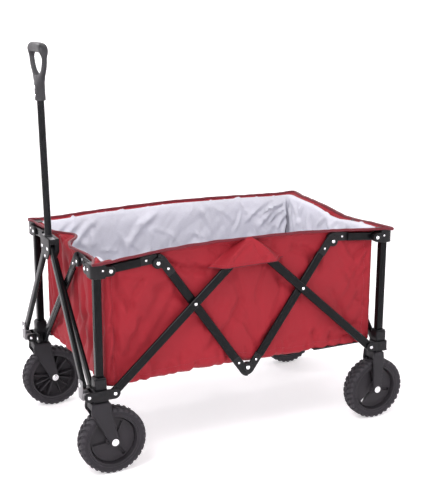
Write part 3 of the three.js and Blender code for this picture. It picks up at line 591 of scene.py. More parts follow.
def rim(end, side, side_sign):
    piece = Piece(wheel_axes(end, side, side_sign))
    share, half_gap = math.tau / SLOTS, 0.0042
    a, b = math.asin(half_gap / HUB_OUT), math.asin(half_gap / RIM_OUT)
    rib = prism(rectangle(0.016, 0.060, -0.0013, 0.0013, 0.0005, 2), -0.0145, 0.0024, 0.0006, 1)
    for k in range(SLOTS):
        start, stop = k * share, (k + 1) * share
        plate = (RIM_OUT, start + b, stop - b, 22), (HUB_OUT, stop - a, start + a, 8)
        piece.add(WHEEL, fan(*plate, 0.0015, WEB, 0.0014, 3))
        for j in range(4):
            t = start + (j + 0.75) * share / 4.5
            c, s = math.cos(t), math.sin(t)
            piece.add(WHEEL, placed(rib, ORIGIN, (c, s, 0), (-s, c, 0), Z))
        if end == "front" or k:
            backing = (RIM_OUT, start - 0.3, start + 0.3, 14), (0.0172, start + 0.3, start - 0.3, 14)
            piece.add(WHEEL, fan(*backing, -0.0006, 0.0022, 0.0006))
    well = [(0.0555, 0.0012), (0.0605, -0.0020), (0.0640, -0.0165), (0.0678, -0.0168), (0.0678, 0.0168),
            (0.0650, 0.0165), (0.0625, 0.0095), (0.0612, 0.0035), (0.0590, WEB), (0.0555, WEB)]
    lip = [(0.0640, 0.0150), (0.0668, 0.0150), (0.0674, 0.0172), (0.0655, 0.0178), (0.0644, 0.0172)]
    hub = [(0.0054, -0.0203), (0.0125, -0.0203), (0.0138, -0.019), (0.0145, 0.0005), (0.0185, 0.0012),
           (0.0185, WEB - 0.001), (0.0150, WEB + 0.001), (0.0138, 0.019), (0.0125, 0.0203), (0.0054, 0.0203)]
    for profile, sides in ((well, 72), (lip, 72), (hub, 40)):
        piece.add(WHEEL, lathe(profile, sides, closed=True))
    piece.finish(f"rim_{end}_{side}", f"{end}_wheel_{side}", "wheel_plastic")


def block(start, flip):
    """One tread block: from the middle of the crown over the shoulder and down the side."""
    stations = [(0.0006, 0.0892, 0.0), (0.0085, 0.0894, 0.42), (0.0152, 0.0891, 0.8),
                (0.0190, 0.0872, 1.0), (0.0203, 0.0842, 1.05), (0.0203, 0.0815, 1.05)]
    floor = [(0.0006, 0.0860), (0.0085, 0.0860), (0.0145, 0.0855),
             (0.0175, 0.0838), (0.0186, 0.0820), (0.0188, 0.0805)]
    rings = []
    for (y, r, lag), (low_y, low_r) in zip(stations, floor):
        middle = start + BLOCK_SLANT * lag
        corners = (low_r, low_y, 0.0052), (low_r, low_y, -0.0052), (r, y, -0.0043), (r, y, 0.0043)
        turned = [(radius, middle + half / radius, h * flip) for radius, h, half in corners]
        rings.append(np.array([(radius * math.cos(t), radius * math.sin(t), h) for radius, t, h in turned]))
    points, faces = lofted(rings)
    return points, faces if flip > 0 else [tuple(reversed(f)) for f in faces]


def tyre(end, side, side_sign):
    piece = Piece(wheel_axes(end, side, side_sign))
    section = [(0.0681, -0.0170), (0.0700, -0.0182), (0.0750, -0.0190), (0.0790, -0.0194), (0.0835, -0.0187),
               (0.0862, -0.0160), (0.0868, 0.0), (0.0862, 0.0160), (0.0835, 0.0187), (0.0790, 0.0194),
               (0.0750, 0.0192), (0.0700, 0.0182), (0.0681, 0.0170)]
    bead = [(0.0705, 0.0180), (0.0722, 0.0182), (0.0722, 0.0196), (0.0708, 0.0196)]
    inner_bead = [(r, -y) for r, y in reversed(bead)]
    piece.add(TYRE, *(lathe(profile, 96, closed=True) for profile in (section, bead, inner_bead)))
    step = math.tau / TREAD_BLOCKS
    for k in range(TREAD_BLOCKS):
        piece.add(TYRE, block(k * step, 1), block((k + 0.5) * step, -1))
    piece.finish(f"tyre_{end}_{side}", f"{end}_wheel_{side}", "tyre", crease=50)


def fork(end, side, side_sign):
    place = (ORIGIN, X, Y * side_sign, Z)
    x = AXLE_X[end]
    front = end == "front"
    lean, width, top = (0.035, 0.056, 0.202) if front else (0.0, 0.038, 0.2046)
    body = f"caster_{side}" if front else f"rear_{side}_corner"
    name = f"caster_fork_{side}" if front else f"rear_fork_{side}"
    inner, outer = 0.0215, 0.0275
    crown = x + lean
    left, right = crown - width / 2, crown + width / 2
    eye = arc(0.013, math.pi * 1.05, math.pi * 1.95, 13, (x, WHEEL_R))
    shoulders = [(x, 0.12), (right, 0.174), (right - 0.003, top), (left + 0.003, top), (left, 0.174)]
    upper = rounded(shoulders, [0, 0.016, 0.005, 0.005, 0.016], 5)
    outline = np.vstack([eye, upper[1:]])

    piece = Piece(place)
    for sign, axis in ((1, "+Y"), (-1, "-Y")):
        face = WHEEL_Y + sign * outer
        piece.add(FORK, drawn_xz(outline, *sorted((WHEEL_Y + sign * inner, face)), 0.0014, 3))
        raised = sorted((face - sign * 0.001, face + sign * 0.0003))
        piece.add(FORK, drawn_xz(inset(outline, 0.0042), *raised, 0.0003, 1))
        piece.add(ZINC, facing(ring(0.0058, 0.0098, 0.0004, (0, 0.0003)), axis, (x, face, WHEEL_R)))
    cap = rectangle(left + 0.004, right - 0.004, WHEEL_Y - inner - 0.001, WHEEL_Y + inner + 0.001, 0.003)
    piece.add(FORK, prism(cap, 0.183, top, 0.0012))
    if not front:
        spot = ring(0.0012, 0.0021, 0.0005, (0, 0), 14)
        piece.add(BRACKET, facing(spot, "+Y", (x, WHEEL_Y + outer, WHEEL_R + 0.020)))
    piece.finish(name, body, "fork_plastic")

    axle = Piece(place)
    axle.add(ZINC, facing(lathe([(0.005, -0.0285), (0.005, 0.0285)], 20), "+Y", (x, WHEEL_Y, WHEEL_R)))
    for sign, axis in ((1, "+Y"), (-1, "-Y")):
        axle.add(ZINC, facing(dome(0.0068, 0.0026, 24), axis, (x, WHEEL_Y + sign * 0.0279, WHEEL_R)))
    axle.finish(f"axle_{end}_{side}", body, "rivet")


for end, _, side, side_sign in CORNERS:
    for build in (rim, tyre, fork):
        build(end, side, side_sign)

# ---------------------------------------------------------------- pull handle

LEG_X = (0.4620, 0.4740)
LEG_FOOT, LEG_HEAD = np.array([0.247, 0.251]), np.array([0.022, 0.552])
POLE_X = 0.468
POLE_FOOT = (POLE_X, 0, 0.567)
LEAN = math.radians(1.2)
POLE_UP = np.array([math.sin(LEAN), 0, math.cos(LEAN)])
POLE_AHEAD = np.array([math.cos(LEAN), 0, -math.sin(LEAN)])
POLE_LENGTH, POLE_RADIUS = 0.390, 0.00925
HEAD_HALF = 0.0365


def yoke_and_leg(side, side_sign):
    place = (ORIGIN, X, Y * side_sign, Z)
    yoke = Piece(place)
    yoke.add(GREY_STEEL_AND_LIT_TOP, drawn_yz(rectangle(0.2354, 0.2626, 0.215, 0.266, 0.004), 0.4744, 0.4774, 0.0008))
    corners = [(0.449, 0.210), (0.4770, 0.215), (0.4770, 0.233), (0.449, 0.233)]
    cheek = rounded(corners, [0.011, 0.002, 0.006, 0.011], 6)
    for y0 in (0.2354, 0.2596):
        yoke.add(GREY_STEEL_AND_LIT_TOP, drawn_xz(cheek, y0, y0 + 0.003, 0.0007))
    yoke.add(ZINC, rivet((0.4774, *LEG_FOOT), "+X", 0.0055, 0.0026))
    yoke.finish(f"handle_yoke_{side}", f"handle_yoke_{side}", "yoke_steel")

    leg = Piece(place)
    run = np.array([0, *(LEG_HEAD - LEG_FOOT)])
    section = rectangle(-0.010, 0.010, 0, 0.012, 0.0038, 5)
    tube = prism(section, 0, np.linalg.norm(run), 0.0004, 1)
    leg.add(TUBE, placed(tube, (LEG_X[0], *LEG_FOOT), np.cross(unit(run), X), X, unit(run)))
    for pin in (LEG_FOOT, LEG_HEAD):
        leg.add(TUBE, placed(prism(circle(0.010, 28), *LEG_X, 0.002, 3), (0, *pin), Y, Z, X))
    leg.finish(f"handle_leg_{side}", f"handle_leg_{side}", "frame_tube")


def handle_pole():
    piece = Piece()
    front, rear = LEG_X[1] + 0.0004, LEG_X[0] - 0.0054
    half = [(0.013, 0.521), (HEAD_HALF, 0.546), (HEAD_HALF, 0.580)]
    corners = [(-0.013, 0.521)] + half + [(-y, z) for y, z in half[:0:-1]]
    profile = rounded(corners, [0.007, 0.007, 0.005, 0.002, 0.002, 0.005])
    piece.add(BRACKET, drawn_yz(profile, front, front + 0.005, 0.0010, 3))
    piece.add(BRACKET, drawn_yz(profile, rear - 0.006, rear + 0.005, 0.0010, 3))
    cap = rectangle(rear - 0.0055, front + 0.0045, -0.0360, 0.0360, 0.002, 3)
    piece.add(BRACKET, prism(cap, 0.5645, 0.5785, 0.0008))
    # The thin grey plate over the cap's top: partly a steel plate, partly a painted highlight standing for
    # overhead light on the black cap's top.
    plate = rectangle(rear - 0.0050, front + 0.0040, -0.0352, 0.0352, 0.002, 3)
    piece.add(GREY_STEEL_AND_LIT_TOP, prism(plate, 0.5775, 0.5798, 0.0005))
    collar = [(0.0112, 0.5780), (0.0112, 0.5835), (0.0102, 0.5850), (0.0090, 0.5852)]
    piece.add(BRACKET, placed(lathe(collar, 36), (POLE_X, 0, 0), X, Y, Z))
    for y, z, *size in ((-0.022, 0.552, 0.0050), (0.022, 0.552, 0.0050), (0, 0.529, 0.0042, 0.002)):
        for x, axis in ((front + 0.005, "+X"), (rear - 0.006, "-X")):
            piece.add(ZINC, rivet((x, y, z), axis, *size))
    tube = lathe([(POLE_RADIUS, 0), (POLE_RADIUS, POLE_LENGTH)], 36)
    piece.add(POLE_PAINT, placed(tube, POLE_FOOT, POLE_AHEAD, Y, POLE_UP))
    piece.finish("handle_pole", "handle", "handle_tube")


def smooth_path(points, count):
    """Points spread evenly along a smooth curve through the given ones."""
    p = np.array(points, float)
    ext = np.vstack([2 * p[0] - p[1], p, 2 * p[-1] - p[-2]])
    t = np.linspace(0, 1, 24, endpoint=False)[:, None]
    fine = []
    for a, b, c, d in zip(ext, ext[1:], ext[2:], ext[3:]):
        bend, twist = 2 * a - 5 * b + 4 * c - d, 3 * b - a - 3 * c + d
        fine.append(0.5 * (2 * b + (c - a) * t + bend * t ** 2 + twist * t ** 3))
    fine = np.vstack(fine + [p[-1:]])
    along = np.r_[0, np.cumsum(np.linalg.norm(np.diff(fine, axis=0), axis=1))]
    stations = np.linspace(0, along[-1], count)
    return np.c_[tuple(np.interp(stations, along, column) for column in fine.T)]


def squared(count, power):
    """Cosines and sines round a circle that is squared off a little."""
    a = np.arange(count) * math.tau / count
    return tuple(np.abs(f) ** power * np.sign(f) for f in (np.cos(a), np.sin(a)))


# One side of the grip and of its finger opening, from the bottom up to the middle of the top: across, up.
GRIP_OUTSIDE = [(0.0, 0.022), (0.0150, 0.024), (0.0300, 0.038), (0.0460, 0.055), (0.0560, 0.074),
                (0.0590, 0.095), (0.0545, 0.115), (0.0420, 0.1255), (0.021, 0.128), (0.0, 0.128)]
GRIP_INSIDE = [(0.0, 0.0455), (0.010, 0.0465), (0.0245, 0.0550), (0.0365, 0.0680), (0.0440, 0.0820),
               (0.0470, 0.0930), (0.0440, 0.1005), (0.034, 0.1030), (0.017, 0.1030), (0.0, 0.1030)]
# Up the grip's stem: height, half width, half depth.
STEM = [(0.372, 0.0138, 0.0128), (0.3740, 0.0148, 0.0134), (0.385, 0.0144, 0.0130), (0.400, 0.0160, 0.0128),
        (0.412, 0.0200, 0.0124), (0.424, 0.0270, 0.0112), (0.4340, 0.030, 0.0090)]


def handle_grip():
    outlines = []
    for half in (GRIP_OUTSIDE, GRIP_INSIDE):
        right = smooth_path(np.array(half) + (0, POLE_LENGTH), 36)
        outlines.append(np.vstack([right, (right * (-1, 1))[-2:0:-1]]))
    outer, inner = outlines
    c, s = squared(20, 0.72)
    rings = []
    for a, b in zip(outer, inner):
        height = (a[1] + b[1]) / 2 - POLE_LENGTH
        thicker = 0.0062 * smoothstep(0.088, 0.112, height) + 0.0050 * smoothstep(0.056, 0.030, height)
        flat = (a + b) / 2 + np.outer(c, (a - b) / 2)
        rings.append(np.c_[flat, (0.0068 + thicker) * (0.92 + 0.08 * circle(1, 20)[:, 0]) * s])
    piece = Piece((POLE_FOOT, Y, POLE_UP, POLE_AHEAD))
    piece.add(GRIP, lofted(rings, closed=True))
    c, s = squared(28, 0.85)
    piece.add(GRIP, lofted([np.c_[wide * c, np.full(28, h), -deep * s] for h, wide, deep in STEM]))
    recess = ring(0.0042, 0.0056, 0.0006, (0.0002, 0.0003), 20, -0.0010)
    for h in (0.386, 0.406):
        for material, shape in ((GRIP, recess), (ZINC, dome(0.0046, 0.0030, 18))):
            piece.add(material, placed(shape, (0, h, 0.0130), X, Y, Z))
    piece.finish("handle_grip", "handle", "grip_plastic", crease=60)


for side, side_sign in SIDES:
    yoke_and_leg(side, side_sign)
handle_pole()
handle_grip()

# ---------------------------------------------------------------- fabric tub

HALF_X, HALF_Y = 0.4060, 0.2372
FLOOR_Z = 0.2283
CORNER = 0.020
# Shares of a wall's grid: under the floor, bent up, below the flared band, and where the lining stops.
HEM, TURN, BODY_TOP, LINING_TOP = 0.06, 0.16, 0.88, 0.912
UNDER_REACH = 0.034
KEEP_LONG, KEEP_END = 0.2472, 0.4185  # the share of its length that a gathered wall keeps, folded

# Along each wall, from its lower coordinate up: rim distance and rim height.
RIMS = {
    "left": [
        (-0.444, 0.2735, 0.5655), (-0.425, 0.2690, 0.5675), (-0.39, 0.2630, 0.5690), (-0.30, 0.2560, 0.5745),
        (-0.151, 0.2540, 0.5825), (-0.029, 0.2545, 0.5840), (0.104, 0.2545, 0.5845), (0.20, 0.2545, 0.5815),
        (0.258, 0.2545, 0.5785), (0.342, 0.2590, 0.5715), (0.40, 0.2660, 0.5675), (0.444, 0.2735, 0.5665)],
    "right": [
        (-0.444, 0.2745, 0.5690), (-0.38, 0.2640, 0.5690), (-0.30, 0.2590, 0.5725), (-0.24, 0.2570, 0.5745),
        (-0.152, 0.2570, 0.5780), (0.0, 0.2570, 0.5800), (0.10, 0.2570, 0.5780), (0.24, 0.2580, 0.5735),
        (0.30, 0.2600, 0.5705), (0.35, 0.2630, 0.5665), (0.40, 0.2680, 0.5640), (0.444, 0.2760, 0.5650)],
    "front": [
        (-0.276, 0.4430, 0.5650), (-0.24, 0.4340, 0.5640), (-0.19, 0.4270, 0.5615), (-0.133, 0.4150, 0.5590),
        (-0.098, 0.3930, 0.5590), (-0.076, 0.3750, 0.5595), (-0.052, 0.3720, 0.5590), (-0.03, 0.3860, 0.5580),
        (0.000, 0.4120, 0.5575), (0.044, 0.4235, 0.5575), (0.10, 0.4180, 0.5585), (0.15, 0.4130, 0.5600),
        (0.195, 0.4130, 0.5615), (0.24, 0.4290, 0.5640), (0.2735, 0.4440, 0.5665)],
    "rear": [
        (-0.276, 0.4440, 0.5690), (-0.204, 0.4330, 0.5675), (-0.13, 0.4300, 0.5670), (-0.062, 0.4290, 0.5650),
        (0.0, 0.4300, 0.5585), (0.054, 0.4300, 0.5545), (0.12, 0.4300, 0.5585), (0.193, 0.4330, 0.5640),
        (0.24, 0.4370, 0.5650), (0.2735, 0.4440, 0.5655)],
}
# Along each wall: how round the cloth turns under to the floor.
TURNS_UNDER = {
    "left": [(-0.41, 0.010), (-0.38, 0.012), (-0.278, 0.018), (-0.16, 0.016), (-0.071, 0.019), (0.02, 0.024),
             (0.095, 0.028), (0.2, 0.020), (0.342, 0.010), (0.41, 0.006)],
    "right": [(-0.41, 0.010), (0.0, 0.020), (0.41, 0.006)],
    "front": [(-0.24, 0.006), (-0.15, 0.016), (0.06, 0.018), (0.176, 0.012), (0.24, 0.006)],
    "rear": [(-0.24, 0.010), (0.0, 0.018), (0.24, 0.010)],
}
# Along each wall: how deep a band flares out below the rim.
BANDS = {
    "left": [(-0.444, 0.0035), (-0.36, 0.0040), (-0.261, 0.0055), (-0.15, 0.0120), (0.0, 0.0160),
             (0.15, 0.0120), (0.261, 0.0060), (0.36, 0.0040), (0.444, 0.0035)],
    "right": [(-0.444, 0.0035), (-0.36, 0.0035), (-0.261, 0.0030), (-0.15, 0.0060), (0.0, 0.0050),
              (0.15, 0.0060), (0.261, 0.0030), (0.36, 0.0035), (0.444, 0.0035)],
    "front": [(-0.276, 0.0035), (-0.12, 0.0040), (0.0, 0.0350),
              (0.05, 0.0350), (0.12, 0.0040), (0.2735, 0.0035)],
    "rear": [(-0.276, 0.0035), (-0.12, 0.0050), (0.0, 0.0120), (0.12, 0.0035), (0.2735, 0.0035)],
}


def softly(table, column, at):
    """A table read along a wall, its corners rounded off."""
    t = np.array(table)
    fine = np.linspace(t[0, 0], t[-1, 0], 240)
    values = np.interp(fine, t[:, 0], t[:, column])
    kernel = np.hanning(13)[1:-1]
    soft = np.convolve(np.pad(values, 8, mode="edge"), kernel / kernel.sum(), "same")[8:-8]
    share = (fine - fine[0]) / (fine[-1] - fine[0])
    weight = smoothstep(0, 0.05, share) * smoothstep(0, 0.05, 1 - share)
    return np.interp(at, fine, soft * weight + values * (1 - weight))


def wall_surface(wall, s, t):
    """A wall's middle surface: s from -1 to 1 along it, t from 0 under the floor to 1 at the rim."""
    long_side = wall in ("left", "right")
    reach, off = (HALF_X, HALF_Y) if long_side else (HALF_Y, HALF_X)
    rims, turns = RIMS[wall], TURNS_UNDER[wall]
    low_end, high_end = rims[0][0], rims[-1][0]
    station = np.where(s < 0, -s * low_end, s * high_end)
    flare = np.clip((t - BODY_TOP) / (1 - BODY_TOP), 0, 1)
    under = np.clip(1 - t / HEM, 0, 1)
    angle = np.clip((t - HEM) / (TURN - HEM), 0, 1) * math.pi / 2
    body = np.clip((t - TURN) / (BODY_TOP - TURN), 0, 1)
    radius = softly(turns, 1, station * reach / np.abs(high_end))
    radius = radius + 0.0035 * np.sin(station * 71) * np.sin(station * 23 + 1) * (1 - np.abs(s) ** 6)
    floor_z = FLOOR_Z + (0.0 if long_side else 0.0005)

    def tucked_in(r):
        return r * (1 - np.sin(angle)) + under * (UNDER_REACH - r)

    band = softly(BANDS[wall], 1, station)
    z = floor_z + radius * (1 - np.cos(angle))
    z = z + (softly(rims, 2, station) - band - floor_z - radius) * body + band * flare ** 1.3
    out = flare ** 0.85
    depth = off - tucked_in(radius) + (softly(rims, 1, station) - off) * out
    far = reach - tucked_in(np.where(s < 0, turns[0][1], turns[-1][1]))
    far = far + (np.abs(station) / np.maximum(np.abs(s), 1e-6) - reach) * out
    rounding = CORNER - 0.010 * out
    along = s * (far - rounding * (1 - math.sqrt(0.5)))
    over = np.clip(np.abs(along) - (far - rounding), 0, rounding * 0.999)
    depth = depth - (rounding - np.sqrt(rounding ** 2 - over ** 2))
    sign = WALLS[wall]["sign"]
    return np.stack([along, sign * depth, z] if long_side else [sign * depth, along, z], -1)


def normals_of(grid):
    n = np.cross(np.gradient(grid, axis=0), np.gradient(grid, axis=1))
    return n / np.maximum(np.linalg.norm(n, axis=2), 1e-9)[..., None]


def outward_of(grid, axis, sign):
    """The grid's normals, all turned so that the middle one points along the signed axis."""
    n = normals_of(grid)
    nu, nv = grid.shape[:2]
    return -n if n[nu // 2, nv // 2, axis] * sign < 0 else n


def ripples(u, z, seed, scale):
    """Soft ridged noise, stretched along a slant as tension folds are."""
    across, along = (u + 0.7 * z) * scale, (z - 0.3 * u) * scale * 0.5
    field = [noise.noise(Vector((a, b, seed))) for a, b in zip(across.ravel(), along.ravel())]
    return 0.5 - 2 * np.abs(field).reshape(u.shape)


def folds(u, z, lines):
    """Valleys along straight lines: each from (u, z) to (u, z), with a width and a depth."""
    out = np.zeros_like(u)
    for u0, z0, u1, z1, width, depth in lines:
        du, dz = u1 - u0, z1 - z0
        length = math.hypot(du, dz)
        p = ((u - u0) * du + (z - z0) * dz) / length
        q = ((u - u0) * dz - (z - z0) * du) / length + 0.06 * length * np.sin(3.2 * p / length)
        fade = smoothstep(-0.12, 0.2, p / length) * smoothstep(1.12, 0.8, p / length)
        valley = 1 / (1 + (q / width) ** 2) ** 1.5
        shoulder = 0.45 / (1 + ((q - 2.0 * width) / (1.3 * width)) ** 2) ** 1.5
        out += depth * (shoulder - valley) * fade
    return out


def scattered(seed, count, span, low, high, length, width, depth, slant):
    """Random folds over part of a wall."""
    random = np.random.RandomState(seed)
    lines = []
    for _ in range(count):
        u, z = random.uniform(-span, span), random.uniform(low, high)
        angle = random.normal(slant, 0.5)
        reach = length * random.uniform(0.5, 1.3)
        size = width * random.uniform(0.6, 1.4), depth * random.uniform(0.4, 1.2)
        lines.append((u, z, u + reach * math.cos(angle), z + reach * math.sin(angle), *size))
    return lines


def puckers(seed, span, pitch, z, height, width, depth):
    """Short folds gathered along the hem."""
    random = np.random.RandomState(seed)
    feet = np.arange(-span, span, pitch)
    lines = []
    for u in feet + random.uniform(-0.3, 0.3, len(feet)) * pitch:
        top = u + random.uniform(-0.012, 0.012), z + height * random.uniform(0.5, 1.5)
        lines.append((u, z, *top, width, depth * random.uniform(0.3, 1.2)))
    return lines


# Single folds, as for folds(): (u, z) to (u, z), width, depth.
OUTER_FOLDS = {
    "left": [
        (0.392, 0.245, 0.388, 0.530, 0.0060, 0.0080), (0.374, 0.235, 0.384, 0.420, 0.0050, 0.0060),
        (0.398, 0.360, 0.372, 0.535, 0.0050, 0.0055), (0.396, 0.258, 0.236, 0.486, 0.0200, 0.0075),
        (0.350, 0.262, 0.215, 0.440, 0.0160, 0.0055), (0.245, 0.548, 0.080, 0.505, 0.0140, 0.0060),
        (-0.120, 0.560, -0.230, 0.480, 0.0140, 0.0055), (-0.290, 0.545, -0.395, 0.545, 0.0100, 0.0050),
        (0.372, 0.250, 0.300, 0.400, 0.0110, 0.0050), (0.372, 0.480, 0.300, 0.415, 0.0070, 0.0045),
        (0.360, 0.520, 0.290, 0.500, 0.0060, 0.0050), (0.280, 0.525, 0.345, 0.400, 0.0100, 0.0055),
        (0.225, 0.530, 0.160, 0.400, 0.0090, 0.0050), (0.240, 0.545, 0.120, 0.500, 0.0080, 0.0050),
        (0.190, 0.560, 0.060, 0.470, 0.0090, 0.0050), (0.120, 0.280, 0.010, 0.420, 0.0120, 0.0055),
        (-0.040, 0.270, 0.040, 0.380, 0.0100, 0.0045), (0.040, 0.500, 0.000, 0.380, 0.0110, 0.0045),
        (-0.060, 0.500, -0.030, 0.400, 0.0090, 0.0040), (-0.270, 0.530, -0.370, 0.430, 0.0100, 0.0050),
        (-0.240, 0.510, -0.160, 0.420, 0.0090, 0.0045), (-0.402, 0.530, -0.340, 0.480, 0.0070, 0.0060),
        (-0.402, 0.450, -0.350, 0.400, 0.0080, 0.0055), (-0.404, 0.330, -0.350, 0.370, 0.0080, 0.0055),
        (-0.400, 0.260, -0.300, 0.300, 0.0100, 0.0060), (-0.380, 0.240, -0.260, 0.262, 0.0070, 0.0060)],
    "right": [(0.39, 0.25, 0.385, 0.53, 0.006, 0.006), (-0.39, 0.25, -0.385, 0.53, 0.006, 0.006)],
    "front": [
        (-0.190, 0.530, -0.150, 0.300, 0.0090, 0.0070), (-0.120, 0.560, -0.130, 0.340, 0.0100, 0.0080),
        (-0.050, 0.500, -0.060, 0.300, 0.0100, 0.0060), (0.030, 0.555, 0.010, 0.330, 0.0090, 0.0070),
        (0.090, 0.480, 0.060, 0.260, 0.0090, 0.0070), (0.140, 0.520, 0.120, 0.260, 0.0080, 0.0080),
        (0.200, 0.520, 0.190, 0.250, 0.0070, 0.0070), (-0.200, 0.260, -0.100, 0.300, 0.0080, 0.0060),
        (0.220, 0.540, 0.160, 0.420, 0.0070, 0.0060)],
    "rear": [
        (-0.20, 0.53, -0.15, 0.33, 0.009, 0.006), (0.02, 0.53, 0.0, 0.34, 0.009, 0.006),
        (0.19, 0.53, 0.16, 0.30, 0.009, 0.006)],
}
LINING_FOLDS = {
    "left": [],
    "right": [
        (-0.398, 0.556, -0.330, 0.535, 0.0050, 0.0085), (-0.396, 0.548, -0.300, 0.520, 0.0055, 0.0095),
        (-0.398, 0.538, -0.330, 0.492, 0.0060, 0.0090), (-0.398, 0.530, -0.355, 0.460, 0.0060, 0.0085),
        (-0.390, 0.560, -0.270, 0.548, 0.0050, 0.0080), (-0.380, 0.545, -0.290, 0.480, 0.0060, 0.0080),
        (-0.400, 0.510, -0.376, 0.420, 0.0060, 0.0080), (-0.340, 0.560, -0.240, 0.500, 0.0070, 0.0070),
        (0.340, 0.555, 0.396, 0.500, 0.0060, 0.0080), (0.300, 0.560, 0.380, 0.450, 0.0080, 0.0080),
        (0.250, 0.560, 0.330, 0.470, 0.0080, 0.0070), (0.060, 0.560, 0.160, 0.460, 0.0100, 0.0070)],
    "front": [(-0.06, 0.55, -0.02, 0.42, 0.009, 0.008), (0.10, 0.55, 0.06, 0.40, 0.009, 0.008)],
    "rear": [
        (-0.225, 0.560, -0.150, 0.480, 0.006, 0.008), (-0.230, 0.540, -0.190, 0.430, 0.006, 0.008),
        (-0.02, 0.55, 0.06, 0.46, 0.009, 0.007), (0.10, 0.548, 0.16, 0.52, 0.007, 0.008),
        (0.12, 0.552, 0.20, 0.535, 0.006, 0.008)],
}


def grid_faces(nu, nv):
    """Faces of a thin closed sheet: a front grid, its back, and the edge between them."""
    at = np.arange(nu * nv).reshape(nu, nv).tolist()
    base = nu * nv
    faces = []
    for i in range(nu - 1):
        for j in range(nv - 1):
            quad = (at[i][j], at[i + 1][j], at[i + 1][j + 1], at[i][j + 1])
            faces += [quad, tuple(base + k for k in reversed(quad))]
    border = [at[i][0] for i in range(nu)] + at[-1][1:]
    border += [at[i][-1] for i in range(nu - 2, -1, -1)] + at[0][-2:0:-1]
    return faces + [(b, a, base + a, base + b) for a, b in zip(border, border[1:] + border[:1])]


def settled_cloth(grid, slack, frames=14):
    """The wall let go as cloth, held round its border: where each grid point settles."""
    scene = bpy.context.scene
    nu, nv = grid.shape[:2]
    mesh = bpy.data.meshes.new("settling")
    faces = [(k, k + nv, k + nv + 1, k + 1) for k in range((nu - 1) * nv) if (k + 1) % nv]
    mesh.from_pydata(grid.reshape(-1, 3).tolist(), [], faces)
    obj = bpy.data.objects.new("settling", mesh)
    scene.collection.objects.link(obj)
    held = [i * nv + j for i in range(nu) for j in range(nv) if i in (0, nu - 1) or j < 8 or j >= nv - 6]
    obj.vertex_groups.new(name="held").add(held, 1.0, "REPLACE")
    modifier = obj.modifiers.new("cloth", "CLOTH")
    settings = modifier.settings
    settings.vertex_group_mass = "held"
    settings.quality = 5
    settings.mass = 0.12
    settings.tension_stiffness = settings.compression_stiffness = 25
    settings.shear_stiffness = 8
    settings.bending_stiffness = 0.15
    settings.tension_damping = settings.compression_damping = 10
    settings.air_damping = 4
    settings.shrink_min = -slack
    settings.effector_weights.gravity = 0.6
    modifier.collision_settings.use_collision = False
    for f in range(1, frames + 1):
        scene.frame_set(f)
    settled = obj.evaluated_get(bpy.context.evaluated_depsgraph_get()).to_mesh()
    co = np.empty(nu * nv * 3, np.float32)
    settled.vertices.foreach_get("co", co)
    scene.frame_set(1)
    bpy.data.objects.remove(obj)
    bpy.data.meshes.remove(mesh)
    return co.reshape(nu, nv, 3).astype(float)


def add_sheet(piece, material, grid, back):
    """A sheet between a grid and its back, whichever way round the grid runs."""
    faces = grid_faces(*grid.shape[:2])
    if ((grid - back) * normals_of(grid)).sum() < 0:
        faces = [tuple(reversed(f)) for f in faces]
    piece.add(material, (np.vstack([grid.reshape(-1, 3), back.reshape(-1, 3)]), faces))


def cord_along(path, radius, sides=10):
    """A round bead that follows a path."""
    way = unit(np.gradient(path, axis=0))
    level = Z if np.abs(way[:, 2]).mean() < 0.7 else X
    side = unit(np.cross(way, level))
    up = np.cross(side, way)
    section = circle(radius, sides)
    return lofted([p + section @ np.array(axes) for p, *axes in zip(path, side, up)])


def stitches(path, lift, length=0.0042, gap=0.0024, radius=0.00045):
    """Short raised dashes along a path, lifted off the cloth."""
    path = path + lift
    along = np.r_[0, np.cumsum(np.linalg.norm(np.diff(path, axis=0), axis=1))]
    shapes = []
    for start in np.arange(gap, along[-1] - length, length + gap):
        a, b = (np.array([np.interp(s, along, column) for column in path.T]) for s in (start, start + length))
        if np.linalg.norm(b - a) > length * 0.5:
            shapes.append(cord_along(np.linspace(a, b, 4), radius, 5))
    return shapes


def hung_wall(sign, seed, body, rests_on, axis, anchor, keep, cut):
    """A wall's settings: the corner that carries it, the brackets it hangs from, its fold and its cut size."""
    return {"sign": sign, "seed": seed, "body": body, "cut": cut,
            "rests_on": [f"top_bracket_{name}" for name in rests_on],
            "fold": {"axis": axis, "anchor": anchor, "keep": keep}}


WALLS = {
    "left": hung_wall(1, 3, "front_left_corner", ("front_left", "rear_left"),
                      (1, 0, 0), (0.407, 0.24, 0.4), KEEP_LONG, (0.88, 0.385)),
    "right": hung_wall(-1, 8, "front_right_corner", ("front_right", "rear_right"),
                       (1, 0, 0), (0.407, -0.24, 0.4), KEEP_LONG, (0.88, 0.385)),
    "front": hung_wall(1, 12, "front_left_corner", ("front_left", "front_right"),
                       (0, 1, 0), (0.40, 0.24, 0.4), KEEP_END, (0.55, 0.375)),
    "rear": hung_wall(-1, 19, "rear_left_corner", ("rear_left", "rear_right"),
                      (0, 1, 0), (-0.40, 0.24, 0.4), KEEP_END, (0.54, 0.375)),
}


